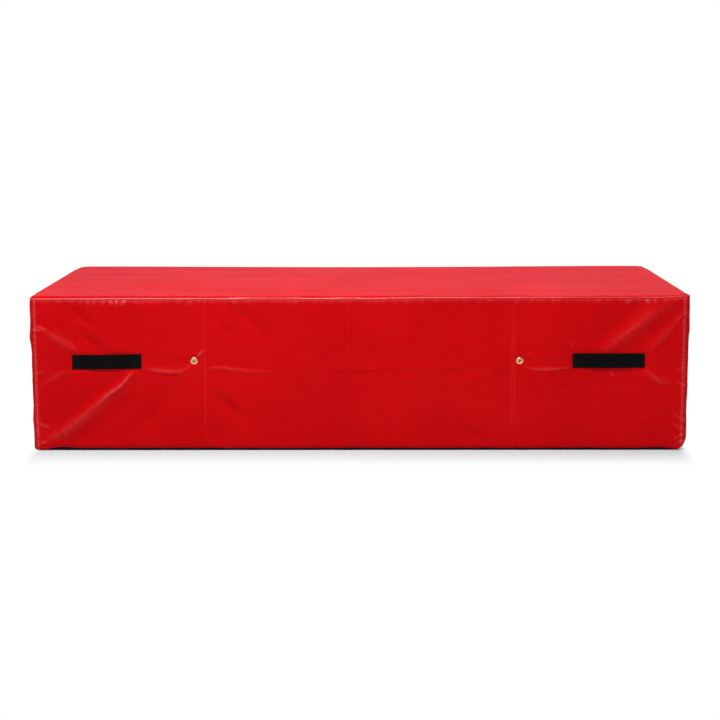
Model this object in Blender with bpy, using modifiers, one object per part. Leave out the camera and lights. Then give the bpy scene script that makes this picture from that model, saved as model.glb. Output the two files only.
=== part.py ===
"""A gymnastics coaching block: layered foam in a sewn, zipped cover with webbing handles.

Metres, +Z up. The origin is on the floor at the middle of the block. The front faces -Y and the
zip runs along the foot of the back. The walls of the cover are cut as flat patterns, measured
along the wall and up from the floor, and are then wrapped round the block.
"""

import math

import bmesh
import bpy
from mathutils import Matrix, Vector
from mathutils.geometry import delaunay_2d_cdt

# the block
LENGTH = 2.000
DEPTH = 0.900
HEIGHT = 0.475
CORNER_RADIUS = 0.022
TOP_EDGE_RADIUS = 0.006
BASE_EDGE_RADIUS = 0.0085

# the cover
SKIN = 0.0012
BASE_SKIN = 0.0015
TOP_LIP = 0.0075
SEAM_GAP = 0.0010
LAP_GAP = 0.0008
SEAM_TURN = math.radians(13)
BASE_SHOW = 0.0070
CORNER_DROP = 0.0060
CORNER_RUN = 0.040
BASE_LIP = 0.018

# the foam
TOP_FOAM = 0.040
BASE_FOAM = 0.040
FOAM_ROOM = 0.0048
FOAM_EDGE = 0.004
FOAM_RIM = 0.0065
SEAT = 0.0003

# the handles
WEB_WIDTH = 0.045
WEB_THICKNESS = 0.0018
WEB_ARCH = 0.0065
SEWN_END = 0.020
HANDLE_LENGTHS = {"left": 0.211, "right": 0.220}
HANDLE_FROM_END = {"left": 0.229, "right": 0.242}
HANDLE_HEIGHT = 0.276
PATCH_MARGIN = 0.016
PATCH_THICKNESS = 0.0012

# creases kept from packing: places from the left vent, the right vent and the block's middle
CREASE_WIDTH = 0.016
CREASE_NARROW = 0.012
CREASE_HEIGHT = 0.0018
CREASE_MARGIN = 0.012
CREASE_BY_VENT = {"left": 0.035, "right": -0.026}
CREASE_LEAN = 0.007
CREASE_LEVEL = 0.251
CREASE_SHORT = 0.180
CREASE_MIDDLE = -0.0215

# the vents
VENT_FROM_END = {"left": 0.495, "right": 0.512}
VENT_HEIGHT = 0.279
VENT_RADIUS = 0.011
VENT_BORE = 0.0040
VENT_BARREL = 0.0052
VENT_CROWN = 0.0019
WASHER_RADIUS = 0.0105
WASHER_THICKNESS = 0.0008
BORE_CLEARANCE = 0.0004

# the zip
ZIP_HEIGHT = 0.055
ZIP_OPENING = 0.0080
TAPE_THICKNESS = 0.0008
TAPE_HEM = 0.010
TOOTH_PITCH = 0.009
TOOTH_REACH = 0.0016
TOOTH_HEAD = 0.0041
TOOTH_NECK = 0.0032
TOOTH_THICKNESS = 0.0030
SPINE_INNER = 0.0019
SPINE_OUTER = 0.0032
ZIP_END_MARGIN = 0.062
TAPE_END_MARGIN = 0.030
TAB_LENGTH = 0.040
TAB_HEIGHT = 0.030
STOP_LENGTH = 0.004
STOP_EDGE = 0.0004

# the slider and its pull
SLIDER_LENGTH = 0.021
SLIDER_MOUTH = 0.0136
SLIDER_TAIL = 0.0098
WING = 0.0016
WING_CORNER = 0.0011
FLANGE = 0.0011
FLANGE_DROP = 0.0011
CHAIN_ROOM = 0.0003
POST_LENGTH = 0.0060
POST_WIDTH = 0.0030
BRIDGE_WINDOW = 0.0034
BRIDGE_SPAN = 0.0052
BRIDGE_LEG = 0.0014
BRIDGE_WIDTH = 0.0030
PULL_LENGTH = 0.034
PULL_WIDTH = 0.0100
PULL_THICKNESS = 0.0018
PULL_EYE_LENGTH = 0.0085
PULL_EYE_WIDTH = 0.0048
PULL_BAR = 0.0022

# colours as linear red, green and blue
RED = (0.560, 0.0040, 0.0062)
NAVY = (0.010, 0.009, 0.018)
BLACK = (0.0075, 0.0075, 0.0080)
BRASS = (0.720, 0.430, 0.140)
STEEL = (0.560, 0.560, 0.580)
CREAM = (0.720, 0.640, 0.420)
GREY_FOAM = (0.160, 0.170, 0.190)
CHIP_FOAM = (0.230, 0.300, 0.340)

FACES = ("front", "right_end", "back", "left_end")
SIDES = ("left", "right")

# folds that the handles pull in the cloth: start and end from the handle's middle, width and
# height, all in webbing widths
PULL_FOLDS = {
    "left": [
        ((2.20, -0.71), (-3.42, -5.33), 0.76, 0.089),
        ((-4.60, 2.13), (-2.64, 0.67), 0.67, 0.062),
        ((-3.76, 3.42), (-0.64, 0.93), 0.76, 0.053),
        ((2.56, -0.58), (5.58, -0.67), 0.49, 0.049),
        ((7.22, -2.13), (9.78, -4.53), 0.67, 0.049),
    ],
    "right": [
        ((-0.29, 0.71), (2.98, 3.09), 0.67, 0.062),
        ((2.62, -0.31), (3.82, -1.69), 0.58, 0.049),
        ((-5.47, -0.31), (-2.62, -0.53), 0.49, 0.040),
    ],
}


class Fold:
    """A ridge in the cloth from start to end on a wall's pattern, highest at its middle."""

    def __init__(self, start, end, width, height):
        self.start = Vector(start)
        self.end = Vector(end)
        self.width = width
        self.height = height

    def rise(self, point):
        """Height of the ridge at a point: a half sine along it, a tent across it."""
        run = self.end - self.start
        along = (point - self.start).dot(run) / run.length_squared
        if along <= 0 or along >= 1:
            return 0.0
        across = abs((point - self.start).cross(run)) / run.length
        swell = math.sin(math.pi * along)
        return self.height * swell * max(0.0, 1 - 2 * across / self.width)

    def lines(self, steps=4):
        """The ridge line and the two foot lines, for the pattern's triangulation."""
        run = self.end - self.start
        side = Vector((-run.y, run.x)).normalized() * self.width / 2
        ridge = [self.start + run * i / steps for i in range(steps + 1)]
        left = [ridge[0]] + [p + side for p in ridge[1:-1]] + [ridge[-1]]
        right = [ridge[0]] + [p - side for p in ridge[1:-1]] + [ridge[-1]]
        return [ridge, left, right]


def remove_objects():
    """Empties the scene this script starts in."""
    for item in list(bpy.data.objects):
        bpy.data.objects.remove(item, do_unlink=True)


def new_collection(name):
    """A collection under the scene's own."""
    made = bpy.data.collections.new(name)
    bpy.context.scene.collection.children.link(made)
    return made


def new_material(name, colour, roughness, metallic=0.0):
    """A Principled material of one colour."""
    made = bpy.data.materials.new(name)
    made.use_nodes = True
    shader = made.node_tree.nodes["Principled BSDF"]
    shader.inputs["Base Color"].default_value = (*colour, 1)
    shader.inputs["Roughness"].default_value = roughness
    shader.inputs["Metallic"].default_value = metallic
    return made


def add_object(name, mesh, finish, smooth=True):
    """A part made from a mesh, in its own copy of a finish."""
    item = bpy.data.objects.new(name, mesh)
    own = finish.copy()
    own.name = name + "_finish"
    mesh.materials.clear()
    mesh.materials.append(own)
    parts.objects.link(item)
    if smooth:
        mesh.shade_smooth()
        mesh.set_sharp_from_angle(angle=math.radians(32))
    return item


def mesh_from_bmesh(name, bm):
    """A mesh datablock from a bmesh, which is freed."""
    mesh = bpy.data.meshes.new(name)
    bm.to_mesh(mesh)
    bm.free()
    return mesh


def solidify(item, thickness, offset=-1):
    """Gives an open surface its wall, on its inner side where offset is -1."""
    wall = item.modifiers.new("wall", "SOLIDIFY")
    wall.thickness = thickness
    wall.offset = offset
    wall.use_even_offset = True


def bevel(item, width, segments=2, degrees=40):
    """Rounds a part's sharp edges."""
    edge = item.modifiers.new("edge", "BEVEL")
    edge.width = width
    edge.segments = segments
    edge.limit_method = "ANGLE"
    edge.angle_limit = math.radians(degrees)


def rounded_block(bm, size, centre, upright_radius, segments=4):
    """A box with rounded upright edges, from a cube primitive."""
    place = Matrix.Translation(Vector(centre)) @ Matrix.Diagonal((*size, 1))
    made = bmesh.ops.create_cube(bm, size=1.0, matrix=place)["verts"]
    upright = [
        e
        for e in {e for v in made for e in v.link_edges}
        if abs(e.verts[0].co.z - e.verts[1].co.z) > size[2] / 2
    ]
    bmesh.ops.bevel(
        bm, geom=upright, offset=upright_radius, segments=segments, profile=0.5, affect="EDGES"
    )


def round_rim(bm, height, radius, segments=3):
    """Rounds the rim of edges that lie at one height."""
    rim = [e for e in bm.edges if all(abs(v.co.z - height) < 1e-6 for v in e.verts)]
    bmesh.ops.bevel(bm, geom=rim, offset=radius, segments=segments, profile=0.5, affect="EDGES")


def foam_layer(name, low, high, finish, eased=None):
    """One sheet of foam, clear of the cover's walls, with the rim at one height eased."""
    inset = SKIN + FOAM_ROOM
    bm = bmesh.new()
    size = (LENGTH - 2 * inset, DEPTH - 2 * inset, high - low)
    rounded_block(bm, size, (0, 0, (low + high) / 2), CORNER_RADIUS - FOAM_EDGE, 3)
    if eased is not None:
        round_rim(bm, eased, FOAM_RIM, 2)
    return add_object(name, mesh_from_bmesh(name, bm), finish)


def build_foam():
    """Three sheets glued face to face: a firm base, the core and a firm top to stand on."""
    bottom = BASE_SKIN + SEAT
    top = HEIGHT - SKIN - SEAT
    core_low = bottom + BASE_FOAM + SEAT
    core_high = top - TOP_FOAM - SEAT
    foam_layer("foam_base_layer", bottom, bottom + BASE_FOAM, chip_foam, eased=bottom)
    foam_layer("foam_core", core_low, core_high, cream_foam)
    foam_layer("foam_top_layer", core_high + SEAT, top, grey_foam, eased=top)


def tray(name, low, high, closed_at, inset, radius, finish, thickness):
    """A shallow open tray with its closed side at one height and its lip at the other."""
    bm = bmesh.new()
    size = (LENGTH - 2 * inset, DEPTH - 2 * inset, high - low)
    rounded_block(bm, size, (0, 0, (low + high) / 2), CORNER_RADIUS - inset)
    open_at = low if closed_at == high else high
    mouth = [f for f in bm.faces if all(abs(v.co.z - open_at) < 1e-6 for v in f.verts)]
    bmesh.ops.delete(bm, geom=mouth, context="FACES_ONLY")
    round_rim(bm, closed_at, radius)
    item = add_object(name, mesh_from_bmesh(name, bm), finish)
    solidify(item, thickness)
    return item


def wall_top():
    """Height of the walls' upper edge, under the top panel's lip."""
    return HEIGHT - TOP_LIP - SEAM_GAP


def foot_inset(height):
    """How far a wall tucks in near the floor, on an arc round the base panel's edge."""
    radius = BASE_EDGE_RADIUS + LAP_GAP + SKIN
    below = BASE_EDGE_RADIUS - height
    if below <= 0:
        return 0.0
    return radius - math.sqrt(radius**2 - below**2)


def from_end(distance, side):
    """Place along the block, as the front shows it, at a distance in from its left or right end."""
    return (LENGTH / 2 - distance) * (-1 if side == "left" else 1)


def face_sizes(face):
    """A wall's half length between its corners, and the distance of its plane from the middle."""
    if face in ("front", "back"):
        return LENGTH / 2 - CORNER_RADIUS, DEPTH / 2
    return DEPTH / 2 - CORNER_RADIUS, LENGTH / 2


def wrap(face, along, height, out=0.0):
    """Places a point of a wall's pattern on the block, out from the wall's outer face."""
    straight, away = face_sizes(face)
    turn = max(0.0, abs(along) - straight) / CORNER_RADIUS
    reach = CORNER_RADIUS + out - foot_inset(height)
    x = math.copysign(min(abs(along), straight) + reach * math.sin(turn), along)
    y = -(away - CORNER_RADIUS + reach * math.cos(turn))
    return Matrix.Rotation(FACES.index(face) * math.pi / 2, 3, "Z") @ Vector((x, y, height))


def wall_reach(face):
    """How far a wall's pattern runs from its middle, into the corners, to the upright seam."""
    straight, _ = face_sizes(face)
    turn = SEAM_TURN if face in ("front", "back") else math.pi / 2 - SEAM_TURN
    return straight + CORNER_RADIUS * turn - SEAM_GAP / 2


def corner_stations(face, steps=3):
    """Places along a wall's pattern where it turns the corner, from the upright seam inwards."""
    straight, _ = face_sizes(face)
    run = wall_reach(face) - straight
    return [straight + run * i / steps for i in range(steps, -1, -1)]


def foot_height(face, along):
    """Height of a wall's lower edge: above the base panel's edge, and down near its ends."""
    share = min(1.0, (wall_reach(face) - abs(along)) / CORNER_RUN)
    return BASE_SHOW - CORNER_DROP * (1 + math.cos(math.pi * share)) / 2


def foot_line(face, steps=3):
    """A wall's lower edge from left to right."""
    stations = corner_stations(face)
    rest = stations[-1] - (wall_reach(face) - CORNER_RUN)
    stations += [stations[-1] - rest * (i + 1) / steps for i in range(steps)]
    left = [Vector((-x, foot_height(face, x))) for x in stations]
    return left + [Vector((-p.x, p.y)) for p in reversed(left)]


def circle(centre, radius, count=16):
    """Points round a hole in a pattern, outside the circle so that its sides just touch it."""
    radius /= math.cos(math.pi / count)
    turns = [2 * math.pi * i / count for i in range(count)]
    return [Vector(centre) + radius * Vector((math.cos(t), math.sin(t))) for t in turns]


def corner_lines(face, low, high):
    """Upright lines on a pattern where it goes round the block's corners."""
    lines = []
    for x in corner_stations(face)[1:]:
        foot = max(low, foot_height(face, x))
        lines += [[Vector((s * x, foot)), Vector((s * x, high))] for s in (-1, 1)]
    return lines


def panel(name, face, outline, holes=(), folds=(), lines=()):
    """A wall panel: its pattern is triangulated between its edges, folds and lines, then wrapped."""
    points, edges = list(outline), []
    rims = [circle(centre, radius) for centre, radius in holes]
    drawn = [line for fold in folds for line in fold.lines()] + list(lines)
    for line in drawn + [rim + rim[:1] for rim in rims]:
        first = len(points)
        points += line
        edges += [(first + i, first + i + 1) for i in range(len(line) - 1)]
    inside = 1
    boundary = [tuple(range(len(outline)))]
    flat, _, triangles, _, _, _ = delaunay_2d_cdt(points, edges, boundary, inside, 1e-6)
    bm = bmesh.new()
    for point in flat:
        rise = max((fold.rise(point) for fold in folds), default=0.0)
        bm.verts.new(wrap(face, point.x, point.y, rise))
    bm.verts.ensure_lookup_table()
    for corners in triangles:
        middle = sum((flat[i] for i in corners), Vector((0, 0))) / 3
        if all((middle - Vector(centre)).length > radius for centre, radius in holes):
            bm.faces.new([bm.verts[i] for i in corners])
    loose = [v for v in bm.verts if not v.link_faces]
    bmesh.ops.delete(bm, geom=loose, context="VERTS")
    item = add_object(name, mesh_from_bmesh(name, bm), red_cloth)
    solidify(item, SKIN)
    return item


def foot_lines(face):
    """Level lines near the floor, where the wall starts to tuck in at its corners."""
    reach = wall_reach(face)
    lines = [[Vector((-reach, BASE_EDGE_RADIUS)), Vector((reach, BASE_EDGE_RADIUS))]]
    for share in (0.6, 0.3):
        height = BASE_EDGE_RADIUS * share
        turn = math.acos(2 * (BASE_SHOW - height) / CORNER_DROP - 1)
        run = 0.8 * CORNER_RUN * turn / math.pi
        for side in (-1, 1):
            ends = sorted((side * reach, side * (reach - run)))
            lines.append([Vector((x, height)) for x in ends])
    return lines


def vent_holes(side_order=1):
    """Holes for the eyelets in a long wall's pattern."""
    radius = VENT_BARREL + BORE_CLEARANCE
    return [((side_order * from_end(VENT_FROM_END[s], s), VENT_HEIGHT), radius) for s in SIDES]


def packing_folds():
    """Creases that the front keeps from packing: upright by each vent, level between, one short."""
    low, high = CREASE_MARGIN, wall_top() - CREASE_MARGIN
    left, right = (from_end(VENT_FROM_END[s], s) + CREASE_BY_VENT[s] for s in SIDES)
    gap = 2 * CREASE_WIDTH
    runs = [
        ((left, low), (left, high), CREASE_WIDTH),
        ((right, low), (right + 2 * CREASE_LEAN, high), CREASE_NARROW),
        ((left + gap, CREASE_LEVEL), (right - gap, CREASE_LEVEL), CREASE_WIDTH),
        ((CREASE_MIDDLE, high - CREASE_SHORT), (CREASE_MIDDLE, high), CREASE_WIDTH),
    ]
    return [Fold(start, end, width, CREASE_HEIGHT) for start, end, width in runs]


def pull_folds():
    """Folds that the handles pull in the front, placed from each handle in webbing widths."""
    folds = []
    for side, shapes in PULL_FOLDS.items():
        middle = Vector((from_end(HANDLE_FROM_END[side], side), HANDLE_HEIGHT))
        for start, end, width, height in shapes:
            ends = [middle + WEB_WIDTH * Vector(place) for place in (start, end)]
            folds.append(Fold(*ends, WEB_WIDTH * width, WEB_WIDTH * height))
    return folds


def build_cover():
    """The sewn panels, each its own piece of cloth."""
    tray("cover_top", HEIGHT - TOP_LIP, HEIGHT, HEIGHT, 0.0, TOP_EDGE_RADIUS, red_cloth, SKIN)
    inset = SKIN + LAP_GAP
    tray("cover_base", 0.0, BASE_LIP, 0.0, inset, BASE_EDGE_RADIUS, navy_cloth, BASE_SKIN)
    top = wall_top()
    for face in ("front", "left_end", "right_end"):
        reach = wall_reach(face)
        outline = foot_line(face) + [Vector((reach, top)), Vector((-reach, top))]
        lines = corner_lines(face, 0.0, top) + foot_lines(face)
        if face == "front":
            folds = packing_folds() + pull_folds()
            panel("cover_front", face, outline, vent_holes(), folds, lines)
        else:
            panel("cover_" + face, face, outline, lines=lines)
    reach = wall_reach("back")
    low, high = ZIP_HEIGHT - ZIP_OPENING, ZIP_HEIGHT + ZIP_OPENING
    lower = foot_line("back") + [Vector((reach, low)), Vector((-reach, low))]
    lines = corner_lines("back", 0.0, low) + foot_lines("back")
    panel("cover_back_lower", "back", lower, lines=lines)
    upper = [Vector((x, z)) for x, z in ((-reach, high), (reach, high), (reach, top), (-reach, top))]
    panel("cover_back_upper", "back", upper, vent_holes(-1), lines=corner_lines("back", high, top))


def face_frame(face, along, height):
    """A matrix at a wall's outer face: X along the wall, Y up it and Z out of it."""
    turn = Matrix.Rotation(FACES.index(face) * math.pi / 2, 4, "Z")
    stand = Matrix(((1, 0, 0, 0), (0, 0, -1, 0), (0, 1, 0, 0), (0, 0, 0, 1)))
    return Matrix.Translation(wrap(face, along, height)) @ turn @ stand


def web_rise(along, length):
    """Gap behind a handle: nothing where it is sewn down, and a flat-topped arch between."""
    free = length / 2 - SEWN_END
    share = min(1.0, abs(along) / free)
    return WEB_ARCH * (1 - share**3) ** 1.5


def build_handle(face, side, along):
    """A length of webbing sewn down at both ends, and the patch behind it inside the cover."""
    length = HANDLE_LENGTHS[side]
    bm = bmesh.new()
    bmesh.ops.create_grid(bm, x_segments=22, y_segments=1, size=0.5)
    for v in bm.verts:
        x = v.co.x * length
        v.co = Vector((x, v.co.y * WEB_WIDTH, SEAT + web_rise(x, length)))
    name = f"handle_{face}_{side}"
    strap = add_object(name, mesh_from_bmesh(name, bm), webbing)
    solidify(strap, WEB_THICKNESS, offset=1)
    carrier = bpy.data.objects.new(name + "_draw_axis", None)
    carrier.matrix_world = face_frame(face, along, HANDLE_HEIGHT)
    parts.objects.link(carrier)
    strap.parent = carrier
    patch_name = f"handle_patch_{face}_{side}"
    bm = bmesh.new()
    size = (length + 2 * PATCH_MARGIN, WEB_WIDTH + 2 * PATCH_MARGIN, PATCH_THICKNESS)
    rounded_block(bm, size, (0, 0, -SKIN - LAP_GAP - PATCH_THICKNESS / 2), PATCH_MARGIN / 2, 3)
    patch = add_object(patch_name, mesh_from_bmesh(patch_name, bm), red_cloth)
    patch.matrix_world = face_frame(face, along, HANDLE_HEIGHT)


def ring(name, profile, face, along, height, finish, steps=20):
    """A closed profile of radius and height turned into a ring, set on a wall."""
    bm = bmesh.new()
    made = [bm.verts.new((r, 0, z)) for r, z in profile]
    for i, v in enumerate(made):
        bm.edges.new((v, made[(i + 1) % len(made)]))
    item = add_object(name, mesh_from_bmesh(name, bm), finish)
    turn = item.modifiers.new("turn", "SCREW")
    turn.axis = "Z"
    turn.steps = steps
    turn.render_steps = steps
    turn.use_merge_vertices = True
    turn.merge_threshold = 0.00001
    turn.use_smooth_shade = True
    item.matrix_world = face_frame(face, along, height)
    return item


def build_vent(face, side, along):
    """A brass eyelet clenched through the wall over a washer."""
    behind = -SKIN - LAP_GAP
    tail = behind - WASHER_THICKNESS - SEAT
    barrel_inner = VENT_BORE + 0.0003
    flange = [
        (VENT_RADIUS, SEAT),
        (VENT_BARREL, SEAT),
        (VENT_BARREL, tail),
        (VENT_BARREL + 0.0016, tail),
        (VENT_BARREL + 0.0014, tail - 0.0007),
        (barrel_inner, tail - 0.0007),
        (VENT_BORE, 0.0002),
        (VENT_BORE + 0.0010, VENT_CROWN * 0.8),
        ((VENT_BORE + VENT_RADIUS) / 2, VENT_CROWN),
        (VENT_RADIUS - 0.0008, VENT_CROWN * 0.6),
    ]
    ring(f"vent_{face}_{side}", flange, face, along, VENT_HEIGHT, brass)
    hole = VENT_BARREL + BORE_CLEARANCE
    low, high = behind - WASHER_THICKNESS, behind
    washer = [(WASHER_RADIUS, high), (WASHER_RADIUS, low), (hole, low), (hole, high)]
    ring(f"vent_washer_{face}_{side}", washer, face, along, VENT_HEIGHT, brass)


def build_fittings():
    """Handles and vents on both long walls."""
    for face, order in (("front", 1), ("back", -1)):
        for side in SIDES:
            build_handle(face, side, order * from_end(HANDLE_FROM_END[side], side))
            build_vent(face, side, order * from_end(VENT_FROM_END[side], side))


def tape_plane():
    """Distance of the zip's tape from the wall's outer face, inwards, to the tape's middle."""
    return SKIN + SEAT + TAPE_THICKNESS / 2


def zip_frame(x):
    """A matrix on the zip's middle line, seen from behind: X to the right, Y up and Z out."""
    return face_frame("back", x, ZIP_HEIGHT) @ Matrix.Translation(Vector((0, 0, -tape_plane())))


def outline_solid(name, loops, thickness, centre=0.0):
    """A flat outline with any holes, filled and given a thickness about a level."""
    curve = bpy.data.curves.new(name, "CURVE")
    curve.dimensions = "2D"
    curve.fill_mode = "BOTH"
    curve.extrude = thickness / 2
    for loop in loops:
        spline = curve.splines.new("POLY")
        spline.points.add(len(loop) - 1)
        for point, (x, y) in zip(spline.points, loop):
            point.co = (x, y, 0, 1)
        spline.use_cyclic_u = True
    holder = bpy.data.objects.new(name, curve)
    bpy.context.scene.collection.objects.link(holder)
    depsgraph = bpy.context.evaluated_depsgraph_get()
    mesh = bpy.data.meshes.new_from_object(holder.evaluated_get(depsgraph))
    bpy.data.objects.remove(holder)
    bpy.data.curves.remove(curve)
    bm = bmesh.new()
    bm.from_mesh(mesh)
    bmesh.ops.remove_doubles(bm, verts=bm.verts, dist=1e-6)
    bmesh.ops.translate(bm, verts=bm.verts, vec=(0, 0, centre))
    bmesh.ops.recalc_face_normals(bm, faces=bm.faces)
    bm.to_mesh(mesh)
    bm.free()
    return mesh


def chain_ends():
    """Where the closed chain starts and ends along the block."""
    start = -LENGTH / 2 + ZIP_END_MARGIN + STOP_LENGTH + CHAIN_ROOM
    return start, slider_centre() + SLIDER_LENGTH / 2 - POST_LENGTH - 2 * CHAIN_ROOM


def slider_centre():
    """The slider's place at rest, closed against the top stops."""
    return LENGTH / 2 - ZIP_END_MARGIN - STOP_LENGTH - CHAIN_ROOM - SLIDER_LENGTH / 2


def tooth_row(side):
    """Outline of one row: a spine along the tape with dovetail teeth that reach past the middle."""
    start, end = chain_ends()
    count = math.floor((end - start - TOOTH_HEAD - TOOTH_PITCH / 2) / TOOTH_PITCH)
    shift = 0.0 if side > 0 else TOOTH_PITCH / 2
    teeth = []
    for i in range(count):
        middle = start + TOOTH_HEAD / 2 + shift + i * TOOTH_PITCH
        for x, y in (
            (middle - TOOTH_NECK / 2, SPINE_INNER),
            (middle - TOOTH_HEAD / 2, -TOOTH_REACH),
            (middle + TOOTH_HEAD / 2, -TOOTH_REACH),
            (middle + TOOTH_NECK / 2, SPINE_INNER),
        ):
            teeth.append((x, side * y))
    spine = [(end, side * SPINE_INNER), (end, side * SPINE_OUTER)]
    spine += [(start, side * SPINE_OUTER), (start, side * SPINE_INNER)]
    return teeth + spine


def box_mesh(name, size, centre):
    """A box from a cube primitive."""
    bm = bmesh.new()
    place = Matrix.Translation(Vector(centre)) @ Matrix.Diagonal((*size, 1))
    bmesh.ops.create_cube(bm, size=1.0, matrix=place)
    return mesh_from_bmesh(name, bm)


def on_zip(name, mesh, finish):
    """A part of the zip, drawn from the zip's middle line."""
    item = add_object(name, mesh, finish)
    item.matrix_world = zip_frame(0.0)
    return item


def build_zip():
    """Tapes, interlocked teeth, stops and the tabs over the ends."""
    tape_run = LENGTH - 2 * TAPE_END_MARGIN
    tape_inner = SPINE_OUTER + SEAT
    tape_width = ZIP_OPENING + TAPE_HEM - tape_inner
    stop_x = LENGTH / 2 - ZIP_END_MARGIN - STOP_LENGTH / 2
    for word, side in (("upper", 1), ("lower", -1)):
        middle = (0, side * (tape_inner + tape_width / 2), 0)
        mesh = box_mesh("tape", (tape_run, tape_width, TAPE_THICKNESS), middle)
        on_zip("zip_tape_" + word, mesh, webbing)
        teeth = outline_solid("zip_teeth_" + word, [tooth_row(side)], TOOTH_THICKNESS)
        on_zip("zip_teeth_" + word, teeth, black_plastic)
        size = (STOP_LENGTH, SPINE_OUTER - CHAIN_ROOM, TOOTH_THICKNESS)
        stop = box_mesh("stop", size, (stop_x, side * SPINE_OUTER / 2, 0))
        bevel(on_zip("zip_top_stop_" + word, stop, steel), STOP_EDGE, 1)
    size = (STOP_LENGTH, 2 * SPINE_OUTER, TOOTH_THICKNESS)
    bevel(on_zip("zip_bottom_stop", box_mesh("stop", size, (-stop_x, 0, 0)), steel), STOP_EDGE, 1)
    for word, side in (("left", 1), ("right", -1)):
        x = side * (LENGTH / 2 - ZIP_END_MARGIN + TAB_LENGTH / 2 + CHAIN_ROOM)
        bm = bmesh.new()
        level = tape_plane() + SEAT + SKIN / 2
        rounded_block(bm, (TAB_LENGTH, TAB_HEIGHT, SKIN), (x, 0, level), 0.004, 3)
        on_zip("zip_end_tab_" + word, mesh_from_bmesh("tab", bm), red_cloth)


def mirrored(points):
    """An outline completed by its mirror image across the middle line."""
    return points + [(x, -y) for x, y in reversed(points)]


def wing_side(inwards=0.0):
    """One side of the slider's wing between its rounded corners: narrow tail, wide mouth."""
    tail, mouth = SLIDER_TAIL / 2 - inwards, SLIDER_MOUTH / 2 - inwards
    half = SLIDER_LENGTH / 2
    return [
        (-half + WING_CORNER, tail),
        (half - 0.55 * SLIDER_LENGTH, tail),
        (half - 0.25 * SLIDER_LENGTH, mouth),
        (half - WING_CORNER, mouth),
    ]


def wing_outline():
    """The whole outline of a wing, with its corners cut."""
    side, half = wing_side(), SLIDER_LENGTH / 2
    tail = (-half, side[0][1] - WING_CORNER)
    mouth = (half, side[-1][1] - WING_CORNER)
    return mirrored([tail, *side, mouth])


def joined(name, pieces, finish):
    """One body from overlapping meshes, by Boolean union with hidden cutters."""
    item = add_object(name, pieces[0], finish, smooth=False)
    for i, mesh in enumerate(pieces[1:]):
        cutter = bpy.data.objects.new(f"{name}_joined_{i}", mesh)
        cutter.hide_render = True
        cutter.display_type = "WIRE"
        cutters.objects.link(cutter)
        union = item.modifiers.new("join", "BOOLEAN")
        union.operation = "UNION"
        union.solver = "EXACT"
        union.object = cutter
        cutter.parent = item
    return item


def build_slider():
    """Front and back wings with flanges round the chain, the post between them, and the bridge."""
    chain_half = TOOTH_THICKNESS / 2 + CHAIN_ROOM
    out, half = chain_half + WING, SLIDER_LENGTH / 2
    pieces = []
    for side in (1, -1):
        level = side * (chain_half + WING / 2)
        pieces.append(outline_solid("wing", [wing_outline()], WING, level))
    post_x = half - POST_LENGTH / 2 - CHAIN_ROOM
    post = [
        (post_x - POST_LENGTH / 2, 0.0),
        (post_x, POST_WIDTH / 2),
        (post_x + POST_LENGTH / 2, 0.0),
        (post_x, -POST_WIDTH / 2),
    ]
    overlap = WING / 2
    pieces.append(outline_solid("post", [post], 2 * (chain_half + overlap)))
    for side in (1, -1):
        for facing in (1, -1):
            outer = [(x, side * y) for x, y in wing_side()]
            inner = [(x, side * y) for x, y in reversed(wing_side(FLANGE))]
            height = FLANGE_DROP + overlap
            level = facing * (chain_half + overlap - height / 2)
            pieces.append(outline_solid("flange", [outer + inner], height, level))
    top = out + BRIDGE_WINDOW
    leg = (BRIDGE_LEG, BRIDGE_WIDTH, BRIDGE_WINDOW + 2 * overlap)
    for side in (1, -1):
        x = side * (BRIDGE_SPAN + BRIDGE_LEG) / 2
        pieces.append(box_mesh("leg", leg, (x, 0, out + BRIDGE_WINDOW / 2)))
    bar = (BRIDGE_SPAN + 2 * BRIDGE_LEG, BRIDGE_WIDTH, BRIDGE_LEG)
    pieces.append(box_mesh("bridge", bar, (0, 0, top + BRIDGE_LEG / 2)))
    slider = joined("zip_slider", pieces, black_metal)
    bevel(slider, 0.0002, 1, 50)
    slider.matrix_world = zip_frame(slider_centre())
    build_pull(out + BRIDGE_WINDOW / 2)


def build_pull(level):
    """The pull tab: its eye is round the bridge, and its end bar turns under it."""
    bar, half = PULL_BAR / 2, PULL_WIDTH / 2
    tip = -PULL_LENGTH
    blade = [(bar, half - 0.002), (bar - 0.002, half), (tip * 0.35, half), (tip * 0.5, half * 0.8)]
    blade += [(tip + 0.003, half * 0.8), (tip, half * 0.5)]
    eye = [
        (-bar, PULL_EYE_WIDTH / 2),
        (-bar - PULL_EYE_LENGTH, PULL_EYE_WIDTH / 2),
    ]
    mesh = outline_solid("pull", [mirrored(blade), mirrored(eye)], PULL_THICKNESS)
    pull = add_object("zip_pull", mesh, black_metal)
    bevel(pull, 0.0003, 1, 50)
    pull.matrix_world = zip_frame(slider_centre()) @ Matrix.Translation(Vector((0, 0, level)))


remove_objects()
parts = new_collection("coaching_block")
cutters = new_collection("cutters")
red_cloth = new_material("red_cloth", RED, 0.38)
navy_cloth = new_material("navy_cloth", NAVY, 0.75)
webbing = new_material("webbing", BLACK, 0.80)
brass = new_material("brass", BRASS, 0.30, 1.0)
steel = new_material("steel", STEEL, 0.35, 1.0)
black_metal = new_material("black_metal", BLACK, 0.40, 0.6)
black_plastic = new_material("black_plastic", BLACK, 0.45)
cream_foam = new_material("cream_foam", CREAM, 0.95)
grey_foam = new_material("grey_foam", GREY_FOAM, 0.90)
chip_foam = new_material("chip_foam", CHIP_FOAM, 0.95)

build_foam()
build_cover()
build_fittings()
build_zip()
build_slider()
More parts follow.
